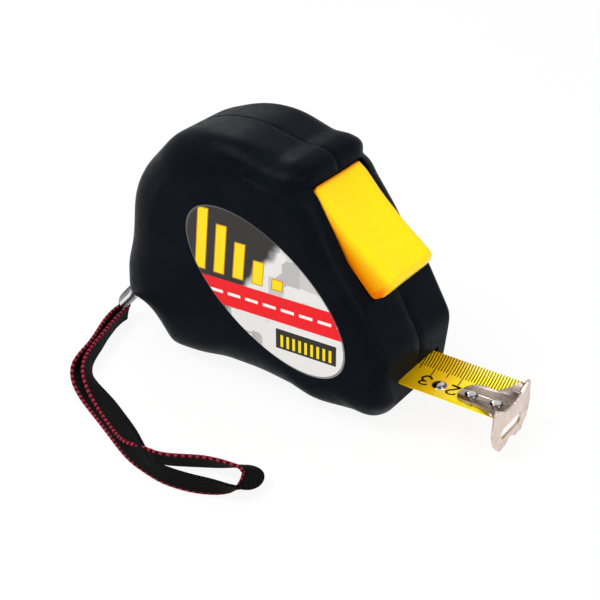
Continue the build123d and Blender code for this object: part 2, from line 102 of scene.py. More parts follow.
# ---------------------------------------------------------------- mesh tools
def grid_faces(rows, columns, wrap_rows=False, wrap_columns=False):
    """Quads between neighbours of a rows by columns grid; a wrapped way joins its end to its start."""
    i = np.arange(rows if wrap_rows else rows - 1)[:, None]
    j = np.arange(columns if wrap_columns else columns - 1)[None, :]
    i2, j2 = (i + 1) % rows, (j + 1) % columns
    corners = [i * columns + j, i2 * columns + j, i2 * columns + j2, i * columns + j2]
    return np.stack(corners, axis=-1).reshape(-1, 4)


def make_piece(name, points, faces, material, attributes=None, sharp=SHARP):
    """An object from points and faces: no doubles, normals outward, edges over `sharp` degrees hard."""
    mesh = bpy.data.meshes.new(name)
    places = np.asarray(points, float).reshape(-1, 3).tolist()
    mesh.from_pydata(places, [], [list(map(int, face)) for face in faces])
    for key, values in (attributes or {}).items():
        layer = mesh.attributes.new(key, "FLOAT", "POINT")
        layer.data.foreach_set("value", np.asarray(values, np.float32).ravel())
    return finish_piece(name, mesh, material, sharp)


def finish_piece(name, mesh, material, sharp=SHARP):
    """Merges doubles, turns the faces outward, smooths the shading and links the object."""
    work = bmesh.new()
    work.from_mesh(mesh)
    bmesh.ops.remove_doubles(work, verts=work.verts, dist=1e-7)
    bmesh.ops.recalc_face_normals(work, faces=work.faces)
    work.to_mesh(mesh)
    work.free()
    mesh.polygons.foreach_set("use_smooth", np.ones(len(mesh.polygons), bool))
    mesh.set_sharp_from_angle(angle=math.radians(sharp))
    mesh.materials.clear()
    mesh.materials.append(material)
    piece = bpy.data.objects.new(name, mesh)
    bpy.context.scene.collection.objects.link(piece)
    return piece


def tube_piece(name, rings, material, attributes=None, sharp=SHARP):
    """A closed body from rings (stations, points round, 3): quads between them, a flat face on each end."""
    stations, around = rings.shape[:2]
    faces = grid_faces(stations, around, wrap_columns=True).tolist()
    faces += [list(range(around)), list(range((stations - 1) * around, stations * around))]
    return make_piece(name, rings, faces, material, attributes, sharp)


def cut_piece(piece, cutters, operation="DIFFERENCE", crossing=False):
    """Cuts the piece with closed meshes, given as (points, faces), and keeps the result as its own mesh.

    crossing says that a mesh may cross itself.
    """
    tools = []
    for points, faces in cutters:
        tool = make_piece("cutter", points, faces, piece.data.materials[0])
        tools.append(tool)
        step = piece.modifiers.new("cut", "BOOLEAN")
        step.operation = operation
        step.solver = "EXACT"
        step.use_self = crossing
        step.object = tool
    graph = bpy.context.evaluated_depsgraph_get()
    done = bpy.data.meshes.new_from_object(piece.evaluated_get(graph))
    piece.modifiers.clear()
    piece.data = done
    for tool in tools:
        bpy.data.objects.remove(tool)
    done.polygons.foreach_set("use_smooth", np.ones(len(done.polygons), bool))
    done.set_sharp_from_angle(angle=math.radians(SHARP))


def prism(corners, low, high):
    """A block with the given (x, z) corners, from y = low to y = high."""
    corners = np.asarray(corners, float)
    count = len(corners)
    ends = [np.column_stack([corners[:, 0], np.full(count, y), corners[:, 1]]) for y in (low, high)]
    faces = [list(range(count)), list(range(2 * count - 1, count - 1, -1))]
    faces += [[i, (i + 1) % count, count + (i + 1) % count, count + i] for i in range(count)]
    return np.concatenate(ends), faces


def rounded_outline(corners, count):
    """Closed outline through corners (x, z, radius): straight runs and tangent arcs, evenly spaced."""
    places = np.array([c[:2] for c in corners], float)
    bends = np.array([c[2] for c in corners], float)
    line = []
    for i, corner in enumerate(places):
        back = places[i - 1] - corner
        on = places[(i + 1) % len(places)] - corner
        back, on = back / np.linalg.norm(back), on / np.linalg.norm(on)
        half = math.acos(np.clip(back @ on, -1, 1)) / 2
        middle = corner + (back + on) / np.linalg.norm(back + on) * bends[i] / math.sin(half)
        first, last = (corner + way * bends[i] / math.tan(half) - middle for way in (back, on))
        start = math.atan2(first[1], first[0])
        sweep = (math.atan2(last[1], last[0]) - start + math.pi) % (2 * math.pi) - math.pi
        turn = start + sweep * np.linspace(0, 1, 25)
        line.append(middle + bends[i] * np.column_stack([np.cos(turn), np.sin(turn)]))
    return evenly(np.concatenate(line), count)


def evenly(line, count):
    """A closed line's points moved so that they are evenly spaced along it."""
    line = np.concatenate([line, line[:1]])
    far = np.concatenate([[0], np.cumsum(np.linalg.norm(np.diff(line, axis=0), axis=1))])
    places = np.arange(count) / count * far[-1]
    return np.column_stack([np.interp(places, far, line[:, k]) for k in range(line.shape[1])])


def smooth_closed(values, width):
    """Running average round a closed row of values; width is the number of neighbours on each side."""
    weights = np.hanning(2 * width + 3)[1:-1]
    weights /= weights.sum()
    padded = np.concatenate([values[-width:], values, values[:width]])
    if values.ndim == 1:
        return np.convolve(padded, weights, "valid")
    return np.column_stack([np.convolve(padded[:, k], weights, "valid") for k in range(values.shape[1])])


def smooth_open(line, width):
    """Running average along an open line whose ends are held."""
    padded = np.concatenate([np.repeat(line[:1], width, axis=0), line, np.repeat(line[-1:], width, axis=0)])
    weights = np.ones(2 * width + 1) / (2 * width + 1)
    return np.column_stack([np.convolve(padded[:, k], weights, "valid") for k in range(line.shape[1])])


def smoothstep(x, low, high):
    """0 below low, 1 above high, and a smooth curve between them."""
    t = np.clip((x - low) / (high - low), 0, 1)
    return t * t * (3 - 2 * t)


# ---------------------------------------------------------------- node tools
def put(tree, kind, sockets=None, **settings):
    """Adds a node with its settings; a socket's value is a number, a colour or another node's output."""
    made = tree.nodes.new(kind)
    for key, value in settings.items():
        setattr(made, key, value)
    for key, value in (sockets or {}).items():
        if isinstance(value, bpy.types.NodeSocket):
            tree.links.new(value, made.inputs[key])
        else:
            made.inputs[key].default_value = value
    return made


def calc(tree, operation, first, second=0.0, third=0.0, clamp=False):
    """The output of a Math node."""
    sockets = {0: first, 1: second}
    if operation in ("MULTIPLY_ADD", "SMOOTH_MIN", "COMPARE", "WRAP"):
        sockets[2] = third
    return put(tree, "ShaderNodeMath", sockets, operation=operation, use_clamp=clamp).outputs[0]


def mix(tree, share, first, second):
    """The colour output of a Mix node."""
    made = put(tree, "ShaderNodeMix", {0: share, 6: first, 7: second}, data_type="RGBA")
    return made.outputs[2]


def between(tree, value, low, high):
    """A value mapped smoothly from 0 at low to 1 at high."""
    sockets = {"Value": value, "From Min": low, "From Max": high}
    return put(tree, "ShaderNodeMapRange", sockets, interpolation_type="SMOOTHSTEP").outputs[0]


def attribute(tree, name):
    """The value of a point attribute of the mesh."""
    return put(tree, "ShaderNodeAttribute", attribute_name=name).outputs["Fac"]


def invert(tree, value):
    """One less the value."""
    return calc(tree, "SUBTRACT", 1.0, value)


def rgb(r, g, b):
    """A colour with full alpha."""
    return (r, g, b, 1.0)


def new_group(name, inputs, outputs):
    """An empty shader node group with named sockets, given as (name, kind, default)."""
    tree = bpy.data.node_groups.new(name, "ShaderNodeTree")
    for title, kind, value in inputs:
        socket = tree.interface.new_socket(title, in_out="INPUT", socket_type=f"NodeSocket{kind}")
        if value is not None:
            socket.default_value = value
    for title, kind in outputs:
        tree.interface.new_socket(title, in_out="OUTPUT", socket_type=f"NodeSocket{kind}")
    return tree, put(tree, "NodeGroupInput").outputs, put(tree, "NodeGroupOutput").inputs


def grain_group():
    """Moulded surface: a fine grain height, a slow tone and a medium mottle, from a place on the piece."""
    if "moulded_grain" in bpy.data.node_groups:
        return bpy.data.node_groups["moulded_grain"]
    tree, given, result = new_group(
        "moulded_grain",
        [("Place", "Vector", None), ("Grain", "Float", 4000.0), ("Spread", "Float", 90.0)],
        [("Height", "Float"), ("Tone", "Float"), ("Mottle", "Float")],
    )
    def noise(scale, detail):
        sockets = {"Vector": given["Place"], "Scale": scale, "Detail": detail}
        return put(tree, "ShaderNodeTexNoise", sockets).outputs[0]

    tree.links.new(noise(given["Grain"], 3.0), result["Height"])
    tree.links.new(between(tree, noise(given["Spread"], 2.0), 0.35, 0.65), result["Tone"])
    quick_scale = calc(tree, "MULTIPLY", given["Spread"], 6.0)
    tree.links.new(between(tree, noise(quick_scale, 4.0), 0.3, 0.7), result["Mottle"])
    return tree


def scratch_group():
    """Fine scratches that run along X, as a height and a mask."""
    if "fine_scratches" in bpy.data.node_groups:
        return bpy.data.node_groups["fine_scratches"]
    tree, given, result = new_group(
        "fine_scratches",
        [("Place", "Vector", None), ("Stretch", "Vector", (60.0, 3000.0, 3000.0))],
        [("Height", "Float"), ("Mask", "Float")],
    )
    long = put(tree, "ShaderNodeVectorMath", {0: given["Place"], 1: given["Stretch"]}, operation="MULTIPLY")
    lines = put(tree, "ShaderNodeTexNoise", {"Vector": long.outputs[0], "Scale": 1.0, "Detail": 3.0})
    tree.links.new(lines.outputs[0], result["Height"])
    tree.links.new(between(tree, lines.outputs[0], 0.52, 0.75), result["Mask"])
    return tree


def weave_group():
    """Narrow woven webbing: ribs across the strip and threads along it, as a height and a shade."""
    if "webbing_weave" in bpy.data.node_groups:
        return bpy.data.node_groups["webbing_weave"]
    tree, given, result = new_group(
        "webbing_weave",
        [("Along", "Float", 0.0), ("Across", "Float", 0.0),
         ("Rib", "Float", 0.0013), ("Thread", "Float", 0.0007)],
        [("Height", "Float"), ("Shade", "Float")],
    )
    rows = calc(tree, "DIVIDE", given["Along"], given["Rib"])
    columns = calc(tree, "DIVIDE", given["Across"], given["Thread"])
    shifted = calc(tree, "MULTIPLY_ADD", calc(tree, "FLOOR", columns), 0.5, rows)
    rib = calc(tree, "ABSOLUTE", calc(tree, "SINE", calc(tree, "MULTIPLY", shifted, math.pi)))
    thread = calc(tree, "ABSOLUTE", calc(tree, "SINE", calc(tree, "MULTIPLY", columns, math.pi)))
    height = calc(tree, "MULTIPLY", rib, calc(tree, "MULTIPLY_ADD", thread, 0.6, 0.4))
    tree.links.new(height, result["Height"])
    tree.links.new(between(tree, height, 0.15, 0.95), result["Shade"])
    return tree


def start_material(name, base, roughness, metallic=0.0, **plain):
    """A material with a Principled BSDF; returns it with its tree, shader and Object coordinates."""
    made = bpy.data.materials.new(name)
    made.use_nodes = True
    tree = made.node_tree
    shader = tree.nodes["Principled BSDF"]
    shader.inputs["Base Color"].default_value = base
    shader.inputs["Roughness"].default_value = roughness
    shader.inputs["Metallic"].default_value = metallic
    for key, value in plain.items():
        shader.inputs[key.replace("_", " ")].default_value = value
    place = put(tree, "ShaderNodeTexCoord").outputs["Object"]
    return made, tree, shader, place


def add_bump(tree, shader, height, distance, strength=1.0):
    """Feeds a height through a Bump node to the shader's normal; distance is in metres."""
    sockets = {"Height": height, "Distance": distance, "Strength": strength}
    tree.links.new(put(tree, "ShaderNodeBump", sockets).outputs[0], shader.inputs["Normal"])


def moulded_material(name, dark, light, roughness, depth, grain=4000.0, spread=90.0, **plain):
    """Moulded plastic or rubber: two close tones in slow patches, with a fine grain in its height."""
    made, tree, shader, place = start_material(name, dark, roughness, **plain)
    sockets = {"Place": place, "Grain": grain, "Spread": spread}
    group = put(tree, "ShaderNodeGroup", sockets, node_tree=grain_group())
    blend = calc(tree, "MULTIPLY_ADD", group.outputs["Mottle"], 0.4, 0.0)
    share = calc(tree, "MULTIPLY_ADD", group.outputs["Tone"], 0.6, blend, clamp=True)
    tree.links.new(mix(tree, share, dark, light), shader.inputs["Base Color"])
    rough = calc(tree, "MULTIPLY_ADD", group.outputs["Mottle"], 0.12, roughness - 0.06)
    tree.links.new(rough, shader.inputs["Roughness"])
    add_bump(tree, shader, group.outputs["Height"], depth)
    return made


def metal_material(name, base, bright, roughness, stretch=(60.0, 3000.0, 3000.0), **plain):
    """Plated or plain metal with fine scratches that lighten it and roughen it a little."""
    made, tree, shader, place = start_material(name, base, roughness, metallic=1.0, **plain)
    group = put(tree, "ShaderNodeGroup", {"Place": place, "Stretch": stretch}, node_tree=scratch_group())
    tree.links.new(mix(tree, group.outputs["Mask"], base, bright), shader.inputs["Base Color"])
    rough = calc(tree, "MULTIPLY_ADD", group.outputs["Mask"], 0.15, roughness)
    tree.links.new(rough, shader.inputs["Roughness"])
    add_bump(tree, shader, group.outputs["Height"], 0.00001)
    return made


def dress(node, material):
    """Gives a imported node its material."""
    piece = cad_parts[node]
    piece.data.materials.clear()
    piece.data.materials.append(material)
    piece.data.polygons.foreach_set("use_smooth", np.ones(len(piece.data.polygons), bool))


# ---------------------------------------------------------------- case covers
def case_rim(count):
    """The side view of the case as evenly spaced (x, z) points, with its bends eased by a short average."""
    rear, front, top = REAR / MM, FRONT / MM, TOP / MM
    corners = [
        (rear + 21, 0, 6), (front - 5.8, 0, 6), (front, 9, 8), (front, 26, 9), (front - 9.0, 41.9, 9),
        (front - 18.3, 53.2, 14), (front - 28.5, 70.6, 6), (front - 31.6, top - 10.0, 2.5),
        (front - 32.5, top - 4.9, 5), (front - 38.5, top - 3.4, 4), (front - 44.3, top - 3.6, 8),
        (rear + 44.5, top + 1.1, 40), (rear + 24.2, top - 5.9, 26), (rear + 5.8, top - 25.2, 30),
        (rear + 2.5, 38, 8), (rear, 28, 6), (rear, 12.8, 4.5), (rear + 11, 10.5, 6), (rear + 18, 4, 6),
    ]
    outline = rounded_outline(corners, count) * MM
    return smooth_closed(outline, max(1, round(count * 0.005)))


def soft_depth(points, rim, step):
    """Distance from points to the rim, blended over all of it so that corners turn softly.

    The blend is (sum of distance ** -p times the rim's step, over c) ** (-1 / (p - 1)), which is the plain
    distance beside a straight rim; close to the rim it passes into the shortest distance.
    """
    power = 5.0
    scale = math.sqrt(math.pi) * math.gamma((power - 1) / 2) / math.gamma(power / 2)
    flat = points.reshape(-1, 2)
    result = np.empty(len(flat))
    for start in range(0, len(flat), 4000):
        part = flat[start:start + 4000]
        gap = np.linalg.norm(part[:, None] - rim[None], axis=2)
        near = gap.min(axis=1)
        total = (np.maximum(gap, 1e-7) ** -power).sum(axis=1) * step / scale
        soft = total ** (-1 / (power - 1))
        share = smoothstep(near, step, 4 * step)
        result[start:start + 4000] = near + (soft - near) * share
    return result.reshape(points.shape[:-1])


# angle round the case in degrees, from the front over the top in the side view, and the depth of the rounding
# in the side view and in y, both in mm
ROUNDING = [
    (-180, 17, 17), (-160, 15.5, 15.5), (-145, 15, 15), (-129, 12, 12.5), (-118, 13, 14), (-108, 17, 18),
    (-85, 17, 19), (-65, 14.5, 17.5), (-53, 9.5, 12.5), (-40, 13, 17), (-30, 6.5, 9), (-18, 4, 4), (0, 4, 4),
    (30, 5, 5.5), (45, 6.5, 8.5), (62, 8.5, 12), (75, 10, 12), (90, 9, 9), (108, 10, 10), (125, 12.5, 13),
    (150, 15, 15.5), (180, 17, 17),
]


def cover_grid(count=560):
    """Outer skin of the left half as a grid (rim stations, rows, 3), with y = 0 on the joint of the halves.

    Rows run from the joint over the rim, round an elliptic edge of depths a and b, where
    y = half - b + b * sqrt(1 - (1 - depth / a) ** 2), across the flat side to the label's oval and
    down its edge.
    """
    rim = case_rim(count)
    fine_rim = case_rim(3 * count)
    step = np.linalg.norm(np.diff(fine_rim, axis=0), axis=1).mean()
    angle = np.degrees(np.arctan2(rim[:, 1] - 40 * MM, rim[:, 0] + 3 * MM))
    table = np.array(ROUNDING, float)
    wide = round(count * 0.02)
    a = smooth_closed(np.interp(angle, table[:, 0], table[:, 1]) * MM, wide)
    b = smooth_closed(np.interp(angle, table[:, 0], table[:, 2]) * MM, wide)
    # foot of each line on the oval
    turn = OVAL["turn"]
    u, v = np.array([math.cos(turn), math.sin(turn)]), np.array([-math.sin(turn), math.cos(turn)])
    centre = np.array([OVAL["x"], OVAL["z"]])
    phi = np.unwrap(np.arctan2((rim - centre) @ v / OVAL["short"], (rim - centre) @ u / OVAL["long"]))
    winding = np.sign(phi[-1] - phi[0]) * 2 * math.pi
    even = phi[0] + winding * np.arange(count) / count
    phi = even + smooth_closed(phi - even, wide)

    def oval(margin):
        return centre + np.outer(np.cos(phi) * (OVAL["long"] - margin), u) + np.outer(
            np.sin(phi) * (OVAL["short"] - margin), v)

    foot = oval(0.0)
    reach = np.linalg.norm(foot - rim, axis=1)
    a = np.minimum(a, reach - 1.6 * MM)
    way = (foot - rim) / reach[:, None]
    flats, heights = [], []
    middle = centre_pull(rim)
    for y, inset in ((0.0, 0.4 * MM), (0.12 * MM, 0.12 * MM), (JOINT_GAP, 0.0)):
        flats.append(rim + middle * inset)
        heights.append(np.full(count, y))
    for share in np.linspace(0, 1, 6)[1:]:
        flats.append(rim)
        heights.append(JOINT_GAP + (HALF - b - JOINT_GAP) * share)
    inner = []
    for theta in np.linspace(0, math.pi / 2, 19)[1:]:
        inner.append(rim + way * (a * (1 - math.cos(theta)))[:, None])
    for share in (0.15, 0.35, 0.6, 0.8, 0.92, 1.0):
        inner.append(rim + way * (a + (reach - 0.35 * MM - a) * share)[:, None])
    inner = np.array(inner)
    depth = soft_depth(inner, fine_rim, step)
    ratio = 1 - np.clip(depth / a, 0, 1)
    side = HALF - b + b * np.sqrt(1 - ratio ** 2)
    flats = np.concatenate([np.array(flats), inner])
    heights = np.concatenate([np.array(heights), side])
    edge = heights[-1]
    lip = [(0.05, 0.0), (-0.05, 0.1), (-0.1, 0.3), (-0.1, 0.75)]
    flats = np.concatenate([flats, [oval(-out * MM) for out, _ in lip]])
    heights = np.concatenate([heights, [edge - drop * MM for _, drop in lip]])
    grid = np.stack([flats[..., 0], -heights, flats[..., 1]], axis=-1).transpose(1, 0, 2)
    normals = grid_normals(grid)
    skin = grid + normals * side_relief(grid)[..., None]
    skin[..., 1] = np.maximum(skin[..., 1], -HALF)
    return skin, normals


def centre_pull(rim):
    """Unit vectors from the rim inwards, square to it."""
    run = np.roll(rim, -1, axis=0) - np.roll(rim, 1, axis=0)
    square = np.column_stack([-run[:, 1], run[:, 0]])
    square /= np.linalg.norm(square, axis=1)[:, None]
    inward = np.sign(((rim.mean(axis=0) - rim) * square).sum())
    return square * inward


def grid_normals(grid):
    """Outward unit normals of a grid that is closed along its first way."""
    along = np.roll(grid, -1, axis=0) - np.roll(grid, 1, axis=0)
    across = np.gradient(grid, axis=1)
    normal = np.cross(along, across)
    size = np.linalg.norm(normal, axis=2, keepdims=True)
    normal = normal / np.maximum(size, 1e-12)
    middle = np.array([OVAL["x"], 0, OVAL["z"]])
    if ((grid - middle) * normal).sum() < 0:
        normal = -normal
    return normal


# the middle lines (x, z) of the moulded waves on the sides, in mm, and each wave's height and half width
WAVES = [
    ([(-30, 66.5), (-21, 73.5), (-12, 77.0), (-5, 77.8), (1, 77.0), (8.6, 75.4), (16, 74.8), (23, 75.0)],
     -0.85, 1.8),
    ([(-34.5, 29), (-36.5, 38), (-37, 48), (-35.5, 57), (-31.5, 65), (-25.5, 69.8), (-15.6, 73.6), (-5, 74.2),
      (2.7, 73.2), (10, 71.2), (15, 70.4), (23, 71.2)], 0.5, 1.9),
]


def side_relief(grid):
    """Height of the moulded waves: height * exp(-(distance / width) ** 2) by each line, less at its ends."""
    flat = grid[..., [0, 2]].reshape(-1, 2) / MM
    total = np.zeros(len(flat))
    for line, height, width in WAVES:
        line = np.array(line, float)
        steps = np.linspace(0, len(line) - 1, 160)
        dense = np.column_stack([np.interp(steps, np.arange(len(line)), line[:, k]) for k in (0, 1)])
        dense = smooth_open(dense, 10)
        fade = smoothstep(np.arange(160), 0, 40) * (1 - 0.6 * smoothstep(np.arange(160), 140, 159))
        for start in range(0, len(flat), 8000):
            gap = np.linalg.norm(flat[start:start + 8000, None] - dense[None], axis=2)
            nearest = gap.argmin(axis=1)
            total[start:start + 8000] += height * fade[nearest] * np.exp(-((gap.min(axis=1) / width) ** 2))
    side = smoothstep(-grid[..., 1] / MM, 7.0, 11.0)
    return total.reshape(side.shape) * side * MM


def cover_cutters(mirrored):
    """Blocks for the window, the blade's mouth and the ring's pocket, and the mirrored half's bores."""
    def on_lock(along, above):
        place = LOCK_ORIGIN + LOCK_ALONG * along * MM + LOCK_UP * above * MM
        return place.x, place.z

    def block(start, along, up, across):
        (x1, x2), (z1, z2) = start + np.array(along) * MM, np.array(up) * MM
        return prism([(x1, z1), (x2, z1), (x2, z2), (x1, z2)], across[0] * MM, across[1] * MM)

    window = [on_lock(-0.3, -7.0), on_lock(90, -7.0), on_lock(90, 60), on_lock(-0.3, 60)]
    blocks = [prism(window, -14.05 * MM, 14.05 * MM), block(FRONT, (-12, 9), (8, 17), (-12.42, 12.42)),
              block(REAR, (-9, 7), (-5, 21.5), (-13.6, -4.9))]
    if mirrored:
        for x, z in head_places("case_screws", 1):
            turn = np.linspace(0, 2 * math.pi, 33)[:-1]
            circle = np.column_stack([x + BORE_RADIUS * np.cos(turn), z + BORE_RADIUS * np.sin(turn)])
            blocks.append(prism(circle, BORE_FLOOR, BORE_TOP))
    return blocks


def head_places(node, axis):
    """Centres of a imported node's heads, looked at along an axis, as the other two coordinates."""
    points = np.array([v.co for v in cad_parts[node].data.vertices], float)
    others = [k for k in range(3) if k != axis]
    heads = points[points[:, axis] > points[:, axis].max() - 0.3 * MM][:, others]
    groups = []
    while len(heads):
        near = np.linalg.norm(heads - heads[0], axis=1) < 6 * MM
        groups.append((heads[near].min(axis=0) + heads[near].max(axis=0)) / 2)
        heads = heads[~near]
    return groups


def screw_levels():
    """Each case screw's x and z and the height of its head.

    The head lies SCREW_SUNK below the lowest rim of its bore, but no lower than SCREW_FLOOR.
    """
    skin = cover_grid(280)[0].reshape(-1, 3)
    levels = []
    for x, z in head_places("case_screws", 1):
        near = np.hypot(skin[:, 0] - x, skin[:, 2] - z) < BORE_RADIUS + 0.3 * MM
        lowest = -skin[near, 1].max() if near.any() else HALF
        levels.append((x, z, max(lowest - SCREW_SUNK, SCREW_FLOOR)))
    return levels


def cover_piece(name, mirrored, material):
    """One rubber cover: the outer skin, the same skin set in by its thickness, and strips between them."""
    outer, normals = cover_grid()
    inner = outer - normals * COVER_THICKNESS
    inner[:, 0, 1] = outer[:, 0, 1]
    stations, rows = outer.shape[:2]
    if mirrored:
        outer, inner = outer * [1, -1, 1], inner * [1, -1, 1]
    rings = np.concatenate([outer, inner[:, ::-1]], axis=1)
    faces = grid_faces(stations, 2 * rows, wrap_rows=True, wrap_columns=True)
    piece = make_piece(name, rings, faces, material)
    cut_piece(piece, cover_cutters(mirrored))
    return piece


def shell_piece(name, node, mirrored, material):
    """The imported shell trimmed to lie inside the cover: it keeps what the cover's inner skin encloses."""
    outer, normals = cover_grid(280)
    inner = outer - normals * SHELL_INSET
    inner = inner[:, [3, *range(3, inner.shape[1] - 6)]]
    inner[:, 0, 1] = 0.5 * MM
    if mirrored:
        inner = inner * [1, -1, 1]
    stations, rows = inner.shape[:2]
    faces = grid_faces(stations, rows, wrap_rows=True).tolist()
    faces += [[i * rows for i in range(stations)], [i * rows + rows - 1 for i in range(stations)]]
    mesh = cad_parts[node].data.copy()
    piece = finish_piece(name, mesh, material)
    cut_piece(piece, [(inner, faces)], "INTERSECT", crossing=True)
    return piece


# ---------------------------------------------------------------- property groups
class CaseSettings(bpy.types.PropertyGroup):
    """Finish of the case covers."""
    rubber: FloatVectorProperty(
        name="Rubber", description="Darkest tone of the rubber covers", subtype="COLOR", size=4,
        default=rgb(0.0019, 0.0034, 0.0058), min=0, max=1)
    rubber_light: FloatVectorProperty(
        name="Rubber, worn", description="Lightest tone of the rubber covers", subtype="COLOR", size=4,
        default=rgb(0.0034, 0.0056, 0.0090), min=0, max=1)
    roughness: FloatProperty(
        name="Roughness", description="Roughness of the rubber", default=0.42, min=0, max=1)


class ButtonSettings(bpy.types.PropertyGroup):
    """Finish and shape of the thumb button."""
    yellow: FloatVectorProperty(
        name="Yellow", description="Colour of the button's top", subtype="COLOR", size=4,
        default=rgb(1.0, 0.73, 0.0), min=0, max=1)
    # painted shade: the orange that the flank share lays on the button's flanks and ends
    orange: FloatVectorProperty(
        name="Orange", description="Colour of the button's flanks", subtype="COLOR", size=4,
        default=rgb(1.0, 0.22, 0.0), min=0, max=1)
    ribs: IntProperty(name="Ribs", description="Shallow ribs across the top", default=5, min=0, max=20)


class BladeSettings(bpy.types.PropertyGroup):
    """Print of the blade."""
    paint: FloatVectorProperty(name="Paint", description="Colour of the blade", subtype="COLOR", size=4,
                               default=rgb(1.0, 0.78, 0.01), min=0, max=1)
    line: FloatProperty(
        name="Line", description="Width of a printed line", default=0.00036, min=0.0001, max=0.001,
        unit="LENGTH")
    digit: FloatProperty(name="Digit height", description="Height of the printed digits", default=0.0050,
                         min=0.002, max=0.01, unit="LENGTH")


class HookSettings(bpy.types.PropertyGroup):
    """Finish of the hook and its rivets."""
    nickel: FloatVectorProperty(name="Nickel", description="Colour of the plating", subtype="COLOR", size=4,
                                default=rgb(0.52, 0.43, 0.40), min=0, max=1)
    roughness: FloatProperty(
        name="Roughness", description="Roughness of the plating", default=0.30, min=0, max=1)


class StrapSettings(bpy.types.PropertyGroup):
    """Size and colours of the wrist strap."""
    width: FloatProperty(
        name="Width", description="Width of the webbing", default=0.0069, min=0.004, max=0.02,
        unit="LENGTH")
    thickness: FloatProperty(
        name="Thickness", description="Thickness of the webbing", default=0.0010, min=0.0005, max=0.003,
        unit="LENGTH")
    stitch: FloatProperty(
        name="Stitch", description="Length of one stitch and its gap", default=0.0022, min=0.001, max=0.01,
        unit="LENGTH")
    thread: FloatVectorProperty(
        name="Thread", description="Colour of the edge stitching", subtype="COLOR", size=4,
        default=rgb(0.20, 0.006, 0.018), min=0, max=1)


class LabelSettings(bpy.types.PropertyGroup):
    """Colours of the side label."""
    dark: FloatVectorProperty(name="Dark", description="Dark end of the label", subtype="COLOR", size=4,
                              default=rgb(0.026, 0.022, 0.021), min=0, max=1)
    pale: FloatVectorProperty(name="Pale", description="Pale end of the label", subtype="COLOR", size=4,
                              default=rgb(0.78, 0.76, 0.74), min=0, max=1)
    band: FloatVectorProperty(name="Band", description="Band across the label", subtype="COLOR", size=4,
                              default=rgb(0.84, 0.006, 0.012), min=0, max=1)
    bars: FloatVectorProperty(name="Bars", description="Bars on the dark end", subtype="COLOR", size=4,
                              default=rgb(0.93, 0.70, 0.0), min=0, max=1)


class StageSettings(bpy.types.PropertyGroup):
    """Camera and light."""
    lens: FloatProperty(name="Lens", description="Focal length in millimetres", default=80.3, min=10, max=300)
    key: FloatProperty(
        name="Key light", description="Power of the main lamp in watts", default=3.0, min=0, max=100)
    fill: FloatProperty(name="Fill", description="Strength of the surroundings", default=0.62, min=0, max=5)


SETTINGS = {
    "tape_case": CaseSettings, "tape_button": ButtonSettings, "tape_blade": BladeSettings,
    "tape_hook": HookSettings, "tape_strap": StrapSettings, "tape_label": LabelSettings,
    "tape_stage": StageSettings,
}


